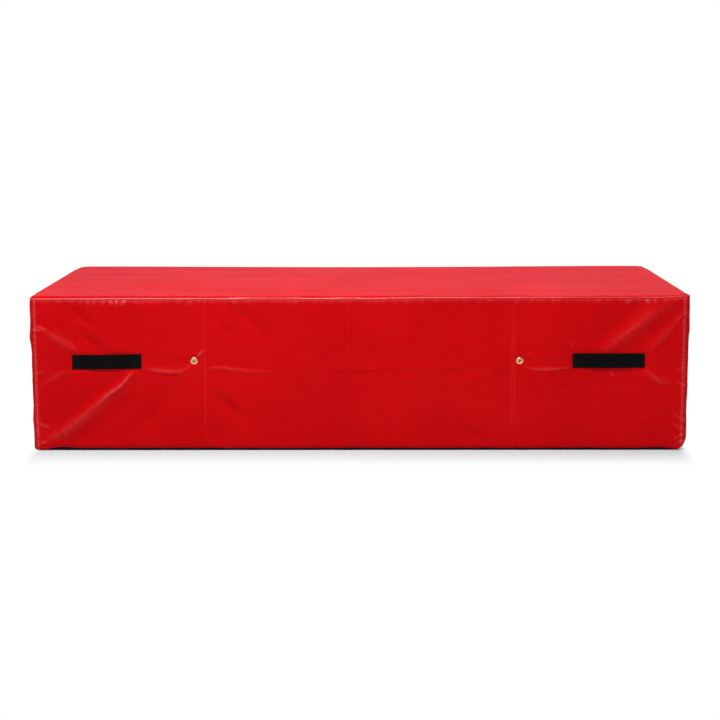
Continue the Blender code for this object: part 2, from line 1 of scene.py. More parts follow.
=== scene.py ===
"""Looks of a gymnastics coaching block: foam in a sewn, zipped cover with webbing handles.

Metres, +Z up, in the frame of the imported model: the origin is on the floor at the middle of the
block, the front faces -Y and the zip runs along the foot of the back. Each wall of the cover is a
flat pattern, measured along the wall and up from the floor, that is wrapped round the block.
"""

import logging
import math
from dataclasses import dataclass
from enum import Enum
from typing import Callable, Sequence, Union

import bmesh
import bpy
import numpy as np
from mathutils import Matrix, Vector

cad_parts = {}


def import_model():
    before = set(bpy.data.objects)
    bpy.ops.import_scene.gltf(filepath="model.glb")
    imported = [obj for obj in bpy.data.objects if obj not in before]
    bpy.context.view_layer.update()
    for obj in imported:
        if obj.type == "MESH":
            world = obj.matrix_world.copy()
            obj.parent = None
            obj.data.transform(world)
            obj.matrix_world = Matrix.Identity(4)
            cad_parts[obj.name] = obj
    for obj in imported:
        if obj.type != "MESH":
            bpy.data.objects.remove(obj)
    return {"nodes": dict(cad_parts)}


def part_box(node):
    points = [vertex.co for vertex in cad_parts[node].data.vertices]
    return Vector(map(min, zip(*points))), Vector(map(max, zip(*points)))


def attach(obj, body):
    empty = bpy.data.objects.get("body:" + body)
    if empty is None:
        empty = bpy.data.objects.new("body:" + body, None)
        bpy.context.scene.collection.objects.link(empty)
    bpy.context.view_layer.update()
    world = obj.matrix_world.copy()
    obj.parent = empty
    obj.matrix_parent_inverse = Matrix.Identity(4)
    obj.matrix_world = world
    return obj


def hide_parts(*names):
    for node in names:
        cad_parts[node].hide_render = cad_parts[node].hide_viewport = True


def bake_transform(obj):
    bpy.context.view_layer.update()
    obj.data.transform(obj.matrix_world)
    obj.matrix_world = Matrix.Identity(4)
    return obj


LOG = logging.getLogger("coaching_block")
CUT = "cut"
SHINE = "shine"

Array = np.ndarray
Item = bpy.types.Object
Material = bpy.types.Material
Pair = tuple[float, float]
Triple = tuple[float, float, float]
Point = Colour = Triple
Value = Union["Link", float]


class Face(Enum):
    """The walls of the cover, in quarter turns from the front."""

    FRONT = 0
    RIGHT = 1
    BACK = 2
    LEFT = 3

    @property
    def long(self) -> bool:
        """Whether it is one of the two long walls."""
        return self in (Face.FRONT, Face.BACK)


class Weave(Enum):
    """How a cloth is woven."""

    PLAIN = "plain"
    HERRINGBONE = "herringbone"
    RIBBED = "ribbed"


def operator(operation: str, swapped: bool = False) -> Callable[["Link", Value], "Link"]:
    """Makes the method for one of Python's operators between a link and another value.

    Args:
        operation: the Math node's operation.
        swapped: whether the link comes second.

    Returns:
        The method.
    """

    def method(link: "Link", other: Value) -> "Link":
        """Adds the Math node."""
        return link.maths(operation, *((other, link) if swapped else (link, other)))

    return method


class Link:
    """An output socket on which Python's operators add Math nodes."""

    __add__, __sub__, __rsub__ = operator("ADD"), operator("SUBTRACT"), operator("SUBTRACT", swapped=True)
    __mul__, __truediv__ = operator("MULTIPLY"), operator("DIVIDE")

    def __init__(self, shader: "Shader", socket: bpy.types.NodeSocket) -> None:
        """Keeps the socket and the nodes that it belongs to."""
        self.shader = shader
        self.socket = socket

    def maths(self, operation: str, *values: Value) -> "Link":
        """The output of one Math node with these inputs."""
        return self.shader.add("Math", {"operation": operation}, dict(enumerate(values)))

    def __abs__(self) -> "Link":
        """Size without sign."""
        return self.maths("ABSOLUTE", self)

    def sine(self) -> "Link":
        """Sine of an angle in radians."""
        return self.maths("SINE", self)

    def zigzag(self, pitch: float) -> "Link":
        """A triangle wave from 0 to the pitch and back."""
        return self.maths("PINGPONG", self, pitch)

    def step(self, low: float, high: float) -> "Link":
        """A smooth step from 0 at low to 1 at high."""
        settings = {"interpolation_type": "SMOOTHSTEP"}
        return self.shader.add("MapRange", settings, {0: self, 1: low, 2: high})


class Shader:
    """The nodes of a material or of the world."""

    def __init__(self, owner: Material | bpy.types.World) -> None:
        """Starts on the owner's own nodes."""
        owner.use_nodes = True
        self.owner = owner
        self.tree = owner.node_tree

    @classmethod
    def named(cls, name: str) -> "Shader":
        """Starts a new material, which has a Principled shader."""
        return cls(bpy.data.materials.new(name))

    def add(self, kind: str, settings: dict, values: dict, output: int | str = 0) -> Link:
        """Adds any node.

        Args:
            kind: the node's type, without its common first part.
            settings: its properties, which are set first.
            values: a value or link for each input, by number or name.
            output: the output to take.

        Returns:
            That output.
        """
        node = self.tree.nodes.new("ShaderNode" + kind)
        for key, value in settings.items():
            setattr(node, key, value)
        for key, value in values.items():
            self.put(node.inputs[key], value)
        return Link(self, node.outputs[output])

    def put(self, socket: bpy.types.NodeSocket, value: Value | tuple) -> None:
        """Sets or links one input."""
        if isinstance(value, Link):
            self.tree.links.new(value.socket, socket)
        elif isinstance(value, tuple) and socket.type == "RGBA":
            socket.default_value = (*value, 1.0)
        else:
            socket.default_value = value

    def surface(self, **values: Value | tuple) -> None:
        """Sets the Principled shader's inputs, named with _ for spaces."""
        for name, value in values.items():
            self.put(self.tree.nodes["Principled BSDF"].inputs[name.replace("_", " ")], value)

    def rays(self, *kinds: str) -> list[Link]:
        """1 for a ray of each kind."""
        return [self.add("LightPath", {}, {}, f"Is {kind} Ray") for kind in kinds]

    def parts(self, at: Link, *axes: int) -> list[Link]:
        """Some of a vector's coordinates, by number."""
        return [self.add("SeparateXYZ", {}, {0: at}, axis) for axis in axes]

    def place(self) -> Link:
        """Object coordinates, in metres."""
        return self.add("TexCoord", {}, {}, "Object")

    def cut(self) -> list[Link]:
        """The cloth's own two coordinates, in metres along and across its pattern."""
        return self.parts(self.add("UVMap", {"uv_map": CUT}, {}), 0, 1)

    def mapped(self, at: Link, scale: Point, move: Point = (0.0, 0.0, 0.0)) -> Link:
        """A vector moved and scaled."""
        return self.add("Mapping", {}, {"Vector": at, "Scale": scale, "Location": move})

    def noise(self, at: Link, per_metre: float, detail: float = 2.0, rough: float = 0.5) -> Link:
        """Soft noise from 0 to 1, with a number of features in a metre."""
        values = {"Vector": at, "Scale": per_metre, "Detail": detail, "Roughness": rough}
        return self.add("TexNoise", {}, values)

    def cells(self, at: Link, per_metre: float, feature: str = "F1", output: int | str = 0) -> Link:
        """Voronoi cells: the distance from a cell's point, or another output."""
        values = {"Vector": at, "Scale": per_metre}
        return self.add("TexVoronoi", {"feature": feature}, values, output)

    def mix(self, share: Value, first: Value | Colour, second: Value | Colour) -> Link:
        """A colour between two others."""
        return self.add("Mix", {"data_type": "RGBA"}, {0: share, 6: first, 7: second}, 2)

    def bump(self, height: Link, metres: float, under: Link | None = None) -> Link:
        """A normal from a height of 0 to 1.

        Args:
            height: the height.
            metres: how high 1 stands.
            under: the normal that it stands on.

        Returns:
            The normal.
        """
        values = {"Height": height, "Distance": metres}
        if under is not None:
            values["Normal"] = under
        return self.add("Bump", {}, values)


class Finish:
    """The looks of a material. Each kind of finish dresses the shader in its own way."""

    def dress(self, shader: Shader) -> None:
        """Adds the finish's nodes and sets the Principled shader's inputs."""
        raise NotImplementedError

    def material(self, name: str) -> Material:
        """A new material with this finish."""
        shader = Shader.named(name)
        self.dress(shader)
        return shader.owner


@dataclass(frozen=True)
class CoatedCloth(Finish):
    """Polyester cloth under a soft, glossy coat, in which the yarns show as a fine emboss."""

    colour: Colour = (0.6, 0.0022, 0.0036)
    deep: Colour = (0.52, 0.0012, 0.003)
    # The colour of the painted highlight on crests, beads, seams and puckers, where the shine is high.
    painted_highlight: Colour = (0.82, 0.07, 0.078)
    roughness: float = 0.44
    gloss: float = 0.02
    polish: float = 0.75
    coat_roughness: float = 0.16
    yarn: float = 0.00105
    emboss: float = 0.00003

    def dress(self, shader: Shader) -> None:
        """The cloth: mottled dye, yarn emboss, calender streaks, a polish on stretched rims, and a painted
        highlight that lightens the colour there.
        """
        at = shader.place()
        along, across = shader.cut()
        cloud = shader.noise(at, 3.2, 3.0)
        fine = shader.noise(at, 60.0, 4.0, 0.6)
        tone = (cloud * 0.7 + fine * 0.3).step(0.3, 0.72)
        streak = shader.noise(shader.mapped(at, (0.5, 1.6, 1.6)), 5.0, 3.0)
        yarns = (along * (math.tau / self.yarn)).sine() * (across * (math.tau / self.yarn)).sine()
        ripple = shader.noise(shader.mapped(at, (0.8, 1.0, 1.3)), 26.0, 3.0, 0.55)
        shine = shader.add("Attribute", {"attribute_name": SHINE}, {}, "Fac")
        normal = shader.bump(ripple, 0.0006)
        normal = shader.bump(fine, 0.0001, normal)
        normal = shader.bump(yarns, self.emboss, normal)
        shader.surface(
            # Painted highlight: the base colour is lightened where the shine attribute is high.
            Base_Color=shader.mix(shine * 1.3, shader.mix(tone, self.deep, self.colour), self.painted_highlight),
            Roughness=(streak - 0.5) * 0.16 + (fine - 0.5) * 0.08 + self.roughness,
            Specular_IOR_Level=0.02,
            Coat_Weight=shine * self.polish + (streak.step(0.3, 0.8) * 0.5 + 0.6) * self.gloss,
            Coat_Roughness=self.coat_roughness,
            Normal=normal,
        )


@dataclass(frozen=True)
class WovenCloth(Finish):
    """Uncoated yarns: the base cloth, the handle webbing and the zip's tape."""

    weave: Weave
    colour: Colour
    # The colour of the yarn crowns: a painted highlight on every crown, and wear in patches.
    wear_and_sheen: Colour
    yarn: float
    relief: float
    roughness: float = 0.82
    column: float = 0.0056

    def height(self, along: Link, across: Link) -> Link:
        """The weave's height from 0 to 1 over the pattern.

        Plain weave multiplies a sine along by one across. Herringbone runs a sine along the cloth
        and shifts it by a zigzag across. Ribs are a sine along, broken by a finer one across.
        """
        turn = math.tau / self.yarn
        if self.weave is Weave.PLAIN:
            return (along * turn).sine() * (across * turn).sine() * 0.5 + 0.5
        if self.weave is Weave.HERRINGBONE:
            slant = (along + across.zigzag(self.column)) * turn
            edge = (across.zigzag(self.column) / self.column).step(0.0, 0.16)
            return (slant.sine() * 0.5 + 0.5) * (edge * 0.8 + 0.2)
        return ((along * turn).sine() * 0.5 + 0.5) * ((across * turn * 1.7).sine() * 0.25 + 0.75)

    def dress(self, shader: Shader) -> None:
        """The cloth, lighter on the crowns of its yarns, a painted highlight, and more so in patches of
        wear.
        """
        at = shader.place()
        along, across = shader.cut()
        height = self.height(along, across)
        fuzz = shader.noise(at, 900.0, 3.0, 0.7)
        rub = shader.noise(at, 22.0, 4.0, 0.6).step(0.45, 0.8)
        # Painted highlight on every yarn crown, stronger in patches of wear.
        crown = height.step(0.35, 1.0) * (rub * 0.6 + 0.4)
        normal = shader.bump(height, self.relief, shader.bump(fuzz, self.relief * 0.4))
        shader.surface(
            Base_Color=shader.mix(crown, self.colour, self.wear_and_sheen),
            Roughness=(fuzz - 0.5) * 0.2 + self.roughness,
            Specular_IOR_Level=0.05,
            Normal=normal,
        )


@dataclass(frozen=True)
class Thread(Finish):
    """Bonded sewing thread with its plies twisted along it."""

    colour: Colour
    roughness: float = 0.5
    twist: float = 0.0011

    def dress(self, shader: Shader) -> None:
        """The thread: slanting plies that catch the light."""
        along, across = shader.cut()
        plies = ((along + across) * (math.tau / self.twist)).sine() * 0.5 + 0.5
        dark = tuple(0.45 * c for c in self.colour)
        shader.surface(
            Base_Color=shader.mix(plies, dark, self.colour),
            Roughness=(1.0 - plies) * 0.2 + self.roughness,
            Specular_IOR_Level=0.35,
            Normal=shader.bump(plies, 0.0001),
        )


@dataclass(frozen=True)
class Metal(Finish):
    """Bare or painted metal."""

    colour: Colour
    tarnish: Colour
    roughness: float
    metallic: float = 1.0
    coat: float = 0.0

    def dress(self, shader: Shader) -> None:
        """The metal: cloudy tarnish, fine drawn lines and small dents."""
        at = shader.place()
        cloud = shader.noise(at, 260.0, 4.0, 0.6).step(0.42, 0.78)
        grain = shader.noise(shader.mapped(at, (1.0, 1.0, 6.0)), 900.0, 3.0)
        dents = shader.noise(at, 420.0, 2.0)
        shader.surface(
            Base_Color=shader.mix(cloud, self.colour, self.tarnish),
            Metallic=self.metallic,
            Roughness=cloud * 0.14 + grain * 0.12 + (self.roughness - 0.08),
            Coat_Weight=self.coat,
            Coat_Roughness=0.25,
            Normal=shader.bump(grain, 0.00002, shader.bump(dents, 0.00012)),
        )


@dataclass(frozen=True)
class Moulding(Finish):
    """Moulded plastic with a faint grain."""

    colour: Colour
    roughness: float = 0.36

    def dress(self, shader: Shader) -> None:
        """The plastic: an even colour, scuffed paler in places."""
        at = shader.place()
        scuff = shader.noise(at, 160.0, 5.0, 0.65).step(0.5, 0.85)
        grain = shader.noise(at, 1800.0, 2.0)
        pale = tuple(3.0 * c + 0.004 for c in self.colour)
        shader.surface(
            Base_Color=shader.mix(scuff, self.colour, pale),
            Roughness=scuff * 0.2 + grain * 0.08 + (self.roughness - 0.04),
            Normal=shader.bump(grain, 0.00002),
        )


@dataclass(frozen=True)
class Foam(Finish):
    """Open-celled foam, or foam bonded from coloured chips."""

    colour: Colour
    shade: Colour
    chips: tuple[Colour, ...] = ()
    cell: float = 0.0016

    def dress(self, shader: Shader) -> None:
        """The foam: small pits, soft clouds of colour and, if bonded, chips in several tones."""
        at = shader.place()
        pits = shader.cells(at, 1.0 / self.cell)
        cloud = shader.noise(at, 14.0, 4.0)
        colour = shader.mix(cloud.step(0.3, 0.7), self.shade, self.colour)
        for i, chip in enumerate(self.chips):
            spread = shader.noise(shader.mapped(at, (1.0, 1.0, 1.0), (0.7 * i, 0.3, 0.1)), 95.0, 1.0)
            colour = shader.mix(spread.step(0.56, 0.58), colour, chip)
        shader.surface(
            Base_Color=colour,
            Roughness=pits * 0.1 + 0.85,
            Specular_IOR_Level=0.15,
            Normal=shader.bump(pits, 0.0005),
        )


# How far above its place, and how far turned, a strap of the front is sewn.
SEWN_OFF = {(Face.FRONT, "left"): (0.001, 0.01), (Face.FRONT, "right"): (0.0034, 0.0)}
RED = CoatedCloth()
NAVY = WovenCloth(Weave.PLAIN, (0.01, 0.004, 0.013), (0.018, 0.008, 0.022), 0.0012, 0.0002)
WEBBING = WovenCloth(
    Weave.HERRINGBONE, (0.003, 0.003, 0.0031), (0.0075, 0.0075, 0.0078), 0.0021, 0.00035
)
TAPE = WovenCloth(Weave.RIBBED, (0.006, 0.006, 0.0065), (0.014, 0.014, 0.015), 0.0009, 0.00018)
RED_THREAD = Thread((0.42, 0.006, 0.009))
BLACK_THREAD = Thread((0.0048, 0.0048, 0.0052))
BRASS = Metal((0.95, 0.5, 0.235), (0.72, 0.33, 0.13), 0.38)
BLACK_METAL = Metal((0.01, 0.01, 0.011), (0.03, 0.03, 0.032), 0.38, 0.0, 0.3)
TEETH = Moulding((0.0085, 0.0085, 0.0092))
CORE_FOAM = Foam((0.74, 0.6, 0.3), (0.66, 0.5, 0.22))
TOP_FOAM = Foam((0.17, 0.18, 0.2), (0.13, 0.14, 0.16), cell=0.001)
BASE_FOAM = Foam(
    (0.23, 0.3, 0.34), (0.17, 0.23, 0.27), ((0.62, 0.55, 0.36), (0.1, 0.16, 0.33), (0.45, 0.12, 0.12))
)


def smooth(x: Array, low: float, high: float) -> Array:
    """A smooth step from 0 at low to 1 at high."""
    t = np.clip((x - low) / (high - low), 0.0, 1.0)
    return t * t * (3.0 - 2.0 * t)


def bell(x: Array, width: float) -> Array:
    """A bell of height 1 about 0: exp(-(x / width) squared)."""
    return np.exp(-((x / width) ** 2))


def joined(*parts: Array | float) -> Array:
    """Puts coordinates side by side as points, each spread to the shape of them all."""
    return np.stack(np.broadcast_arrays(*parts), -1)


def turned(u: Array, v: Array, heading: float, stretch: Pair) -> tuple[Array, Array]:
    """Distances along and across a heading, on a pattern that is stretched in u and in v."""
    u, v = u / stretch[0], v / stretch[1]
    cos, sin = math.cos(heading), math.sin(heading)
    return u * cos + v * sin, v * cos - u * sin


def centred(node: str) -> tuple[list[float], list[float]]:
    """The middle of a node's box, and half its size."""
    low, high = (np.array(corner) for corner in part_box(node))
    return ((low + high) / 2).tolist(), ((high - low) / 2).tolist()


def added(name: str, data: bpy.types.ID) -> Item:
    """A new object in the scene, with its mesh, lamp or camera."""
    item = bpy.data.objects.new(name, data)
    bpy.context.scene.collection.objects.link(item)
    return item


def stations(
    low: float,
    high: float,
    step: float,
    fine_at: Sequence[float] = (),
    fine: float = 0.3,
    reach: float = 0.012,
) -> Array:
    """Places between two ends, closer together near some of them.

    The number of places in a metre is summed along the run, and the sum is cut evenly.

    Args:
        low: the first place.
        high: the last place.
        step: the usual gap.
        fine_at: where the gap is finest.
        fine: the finest gap as a share of the usual one.
        reach: how far from there the gap stays fine.

    Returns:
        The places.
    """
    at = np.linspace(low, high, 8001)
    near = np.max([np.zeros_like(at)] + [bell(at - x, reach) for x in fine_at], axis=0)
    per_metre = (1.0 + (1.0 / fine - 1.0) * near) / step
    run = np.concatenate([[0.0], np.cumsum((per_metre[1:] + per_metre[:-1]) / 2 * np.diff(at))])
    return np.interp(np.linspace(0.0, run[-1], math.ceil(run[-1]) + 1), run, at)


@dataclass
class Surface:
    """A grid of points that may close on itself either way, and may have copies.

    The points have the axes copy, row, column and x y z, and the cut has row, column and the two
    coordinates of the cloth. The normal is the columns' direction crossed with the rows'.
    """

    points: Array
    cut: Array
    closed: tuple[bool, bool] = (False, False)
    shine: Array | None = None
    holes: Sequence[Triple] = ()

    def faces(self) -> tuple[Array, Array]:
        """The vertex numbers of each face, and the cut at its corners.

        Faces whose middle lies in a hole, a circle on the cut, are left out.
        """
        copies, rows, columns, _ = self.points.shape
        r, c = np.meshgrid(
            np.arange(rows - 1 + self.closed[0]), np.arange(columns - 1 + self.closed[1]), indexing="ij"
        )
        r = np.stack([r, r, r + 1, r + 1], -1).reshape(-1, 4)
        c = np.stack([c, c + 1, c + 1, c], -1).reshape(-1, 4)
        for u, v, radius in self.holes:
            middle = self.cut[r, c].mean(axis=1) - (u, v)
            r, c = (grid[np.hypot(*middle.T) > radius] for grid in (r, c))
        one = (r % rows) * columns + c % columns
        first = np.arange(copies)[:, None, None] * rows * columns
        return (one + first).reshape(-1, 4), np.tile(self.cut[r, c], (copies, 1, 1))


def hemmed(places: Array, hem: float = 0.006, bend: float = 0.0004) -> tuple[Array, Array]:
    """Turns both ends of a row of places back on themselves.

    Args:
        places: the places.
        hem: how far they come back.
        bend: how far from the end the cloth is round the bend.

    Returns:
        The places with three more at each end, and how deep each lies, from 0 to 1.
    """
    first, last = places[0], places[-1]
    ends = [first + hem, first + bend, first], [last, last - bend, last - hem]
    deep = [1.0, 1.0, 0.5]
    return np.concatenate([ends[0], places, ends[1]]), np.concatenate([deep, 0.0 * places, deep[::-1]])


def add_piece(
    name: str, surfaces: Sequence[Surface], material: Material, sharp: float | None = None
) -> Item:
    """Makes one object of some surfaces.

    Args:
        name: the object's name.
        surfaces: the surfaces.
        material: its finish.
        sharp: the angle in degrees past which an edge stays sharp.

    Returns:
        The object, with its poles closed and its cut as a UV map.
    """
    points, faces, cuts, shine, first = [], [], [], [], 0
    for surface in surfaces:
        own = surface.points.reshape(-1, 3)
        quads, cut = surface.faces()
        points.append(own)
        faces.append(quads + first)
        cuts.append(cut.reshape(-1, 2))
        shine.append(np.zeros(len(own)) if surface.shine is None else surface.shine.ravel())
        first += len(own)
    mesh = bpy.data.meshes.new(name)
    mesh.from_pydata(np.concatenate(points).tolist(), [], np.concatenate(faces).tolist())
    mesh.uv_layers.new(name=CUT).data.foreach_set("uv", np.concatenate(cuts).astype(np.float32).ravel())
    layer = mesh.attributes.new(SHINE, "FLOAT", "POINT")
    layer.data.foreach_set("value", np.concatenate(shine).astype(np.float32))
    bm = bmesh.new()
    bm.from_mesh(mesh)
    bmesh.ops.remove_doubles(bm, verts=bm.verts, dist=1e-7)
    bm.to_mesh(mesh)
    bm.free()
    mesh.shade_smooth()
    if sharp is not None:
        mesh.set_sharp_from_angle(angle=math.radians(sharp))
    mesh.materials.append(material)
    LOG.info("%s: %d faces", name, len(mesh.polygons))
    return added(name, mesh)


def settle(item: Item, body: str, stands_for: Sequence[str] = ()) -> Item:
    """Gives a piece its body, hides the nodes that it stands for, and returns it."""
    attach(item, body)
    if stands_for:
        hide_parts(*stands_for)
    return item


def thicken(item: Item, thickness: float) -> None:
    """Gives an open sheet its thickness, inwards."""
    wall = item.modifiers.new("cloth thickness", "SOLIDIFY")
    wall.thickness = thickness
    wall.offset = -1.0


def capped(rings: Array) -> Array:
    """Closes a stack of rings with a ring of one repeated point, a pole, before and after."""
    poles = np.broadcast_to(rings.mean(axis=2, keepdims=True), rings.shape)
    return np.concatenate([poles[:, :1], rings, poles[:, -1:]], axis=1)


def run_along(points: Array) -> Array:
    """Distance run along a row of points, from 0 at the first."""
    return np.concatenate([[0.0], np.cumsum(np.linalg.norm(np.diff(points, axis=0), axis=-1))])


def rejoined(points: Array) -> Array:
    """A row of points with the first again at the end."""
    return np.concatenate([points, points[:1]])


def loft(rings: Array, torus: bool = False) -> Surface:
    """A surface through rings. Its cut is measured along the rings' middles and round a ring.

    Args:
        rings: points with the axes copy, ring, place in the ring and x y z.
        torus: whether the last ring joins the first; otherwise both ends are capped.

    Returns:
        The surface.
    """
    rings = rings if torus else capped(rings)
    around = rejoined(rings[0, rings.shape[1] // 2])
    middles = rejoined(rings[0, :, 0]) if torus else rings[0].mean(axis=1)
    cut = np.meshgrid(run_along(middles), run_along(around), indexing="ij")
    return Surface(rings, joined(*cut), (torus, True))


def spline(points: Sequence[Sequence[float]], count: int, closed: bool = True) -> Array:
    """A smooth line through points: a Catmull-Rom cubic between each pair.

    Args:
        points: the points.
        count: points to return on each stretch.
        closed: whether the line closes.

    Returns:
        The points of the line.
    """
    p = np.array(points, float)
    n = len(p)
    first = np.arange(n if closed else n - 1)
    t = np.arange(count)[:, None] / count
    pick = [p[(first + i) % n] if closed else p[np.clip(first + i, 0, n - 1)] for i in (-1, 0, 1, 2)]
    a, b, c, d = (q[:, None] for q in pick)
    line = b + t * (c - a) / 2 + t**2 * (a - 2.5 * b + 2 * c - d / 2) + t**3 * (1.5 * (b - c) + (d - a) / 2)
    line = line.reshape(-1, p.shape[1])
    return line if closed else np.concatenate([line, p[-1:]])


def oval(count: int, wide: float, high: float, square: float = 1.0) -> Array:
    """A ring of a superellipse: each of cosine and sine is raised to the power square.

    Args:
        count: the number of points.
        wide: half its width.
        high: half its height.
        square: 1 for an ellipse, and nearer 0 for a rounded rectangle.

    Returns:
        The points, two coordinates each, anticlockwise.
    """
    turn = np.arange(count) * math.tau / count
    c, s = np.cos(turn), np.sin(turn)
    return joined(wide * np.sign(c) * np.abs(c) ** square, high * np.sign(s) * np.abs(s) ** square)


@dataclass(frozen=True)
class Block:
    """The sizes of the block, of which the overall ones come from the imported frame."""

    length: float
    depth: float
    height: float
    corner: float = 0.022
    seam_turn: float = math.radians(20)
    end_ease: float = 0.0042
    top_ease: float = 0.0016
    top_edge: float = 0.003
    base_edge: float = 0.02
    end_edge: float = 0.01
    lip: float = 0.0098
    base_show: float = 0.005
    foot_run: float = 0.052
    foot_drop: float = 0.004
    foot_clear: float = 0.0004
    tighten: float = 0.07
    foot_rounds: tuple[Point, ...] = (
        (0.006, 0.0, 0.008),
        (0.042, 0.0, 0.052),
        (0.02, 0.0, 0.026),
        (0.012, 0.0, 0.016),
    )
    head_rounds: tuple[Point, ...] = (
        (0.01, 0.01, 0.01),
        (0.012, 0.012, 0.013),
        (0.01, 0.01, 0.01),
        (0.01, 0.01, 0.01),
    )
    round_fade: float = 0.13
    sag: float = 0.0038
    lift: float = 0.005
    low_end: float = 0.0022
    climb: float = 0.0026

    @classmethod
    def from_frame(cls) -> "Block":
        """The block as packed, from the box of its top panel, with room for the cloth to bulge endwise."""
        low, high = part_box("cover_top")
        return cls(high.x - low.x + 2 * cls.end_ease, high.y - low.y, high.z + cls.top_ease)

    def half(self, face: Face) -> Pair:
        """A wall's half length between its corners, and its plane's distance from the middle."""
        sides = self.length / 2, self.depth / 2
        along, away = sides if face.long else sides[::-1]
        return along - self.corner, away

    def reach(self, face: Face) -> float:
        """How far a wall's pattern runs from its middle to the upright seam."""
        turn = self.seam_turn if face.long else math.pi / 2 - self.seam_turn
        return self.half(face)[0] + self.corner * turn

    def wall_top(self) -> float:
        """Height of the seam between the walls and the top."""
        return self.height - self.lip

    def foot(self, face: Face, along: Array) -> Array:
        """The pattern's height at a wall's lower edge, which comes down near its ends on half a cosine."""
        share = np.clip((self.reach(face) - np.abs(along)) / self.foot_run, 0.0, 1.0)
        return self.base_show - self.foot_drop * (1.0 + np.cos(np.pi * share))

    def profile(self, face: Face, along: Array, height: Array) -> tuple[Array, Array]:
        """How far in and how high a wall's pattern lies, which runs under the block at its foot.

        Below the edge's radius it turns on an arc through a quarter, and then it lies level. The
        long walls have a rounder edge, which tightens towards the ends to theirs.
        """
        radius = self.end_edge
        if face.long:
            share = smooth(self.reach(face) - np.abs(along), 0.0, self.tighten)
            radius = radius + share * (self.base_edge - radius)
        below = np.maximum(0.0, radius - height)
        turn = np.minimum(below / radius, math.pi / 2)
        under = below - radius * turn
        inwards = radius * (1.0 - np.cos(turn)) + under
        low = radius * (1.0 - np.sin(turn)) + self.foot_clear * turn
        return inwards, np.where(below > 0.0, low, height)

    def wrap(self, face: Face, along: Array, height: Array, out: Array | float = 0.0) -> Array:
        """Wraps a wall's pattern round the block.

        Past the straight part a point turns on the corner's arc, by its distance over the radius.
        The block's corners are then rounded.

        Args:
            face: the wall.
            along: distance along the wall from its middle.
            height: height on the pattern.
            out: distance out from the wall.

        Returns:
            The points in the block's frame.
        """
        straight, away = self.half(face)
        turn = np.maximum(0.0, np.abs(along) - straight) / self.corner
        inwards, level = self.profile(face, along, height)
        cos, sin = ((1, 0), (0, 1), (-1, 0), (0, -1))[face.value]
        places = []
        for extra in (0.0, out):
            reach = self.corner + extra - inwards
            x = np.sign(along) * (np.minimum(np.abs(along), straight) + reach * np.sin(turn))
            y = self.corner - away - reach * np.cos(turn)
            places.append(joined(x * cos - y * sin, x * sin + y * cos, level))
        flat, raised = places
        return raised + self.rounded(flat) - flat

    def rounded(self, points: Array, inset: float = 0.0) -> Array:
        """Rounds the block's eight corners like a cushion's.

        Each corner has an ellipsoid, or in elevation alone an ellipse, of the given radii. A point
        past its centre is drawn in to it. The move fades along the edges, which keep their own radius.

        Args:
            points: points in the block's frame.
            inset: how far they lie inside the cover, level.

        Returns:
            The points, rounded.
        """
        points = np.array(points, float)
        for i in range(4):
            for radii, base, up in ((self.foot_rounds[i], 0.0, -1), (self.head_rounds[i], self.height, 1)):
                side = np.array([(-1, 1, 1, -1)[i], (-1, -1, 1, 1)[i], up])
                radii = np.array(radii)
                past = points * side - (self.length / 2, self.depth / 2, base) + radii
                over = np.where(radii > 0.0, np.maximum(0.0, past) / np.maximum(radii, 1e-9), 0.0)
                size = np.maximum(np.linalg.norm(over, axis=-1), 1e-9)
                long = np.maximum(np.linalg.norm(over * radii, axis=-1), 1e-9)
                level = np.linalg.norm((over * radii)[..., :2], axis=-1) / long
                share = 1.0 - smooth(np.maximum(0.0, -past).max(-1), 0.0, self.round_fade)
                draw = share * np.maximum(0.0, size - 1.0 + inset * level * size / long) / size
                points -= draw[..., None] * over * radii * side
        return points

    def slump(self, points: Array, cloth: bool = True) -> Array:
        """Lets the top sag towards the middle of its back edge, and sets the cloth a little out of true.

        The cloth stands up at its right front corner and lies low along its left end, and its front
        seam climbs towards the right.

        Args:
            points: points in the block's frame.
            cloth: whether they belong to the cover.

        Returns:
            The points, moved up or down.
        """
        x, y, z = (points[..., i] for i in range(3))
        share = (1 - np.clip(x / self.length * 2, -1, 1) ** 2) ** 2
        top, seam_level = self.height, self.wall_top()
        drop = self.sag * share * smooth(y, -0.25, 0.45) * smooth(z, 0.28, top)
        if cloth:
            ear = bell(x - self.length / 2, 0.05) * bell(y + self.depth / 2, 0.065)
            end = bell(x + self.length / 2, 0.016) * smooth(y, -0.43, -0.38)
            drop = drop + (self.low_end * end - self.lift * ear) * smooth(z, 0.36, top)
            seam = smooth(z, 0.38, seam_level) * (1.0 - smooth(z, seam_level + 0.0035, top))
            drop = drop - self.climb * seam * smooth(x, 0.02, 0.22) * smooth(-y, 0.38, 0.44)
        return points - joined(0.0, 0.0, drop)


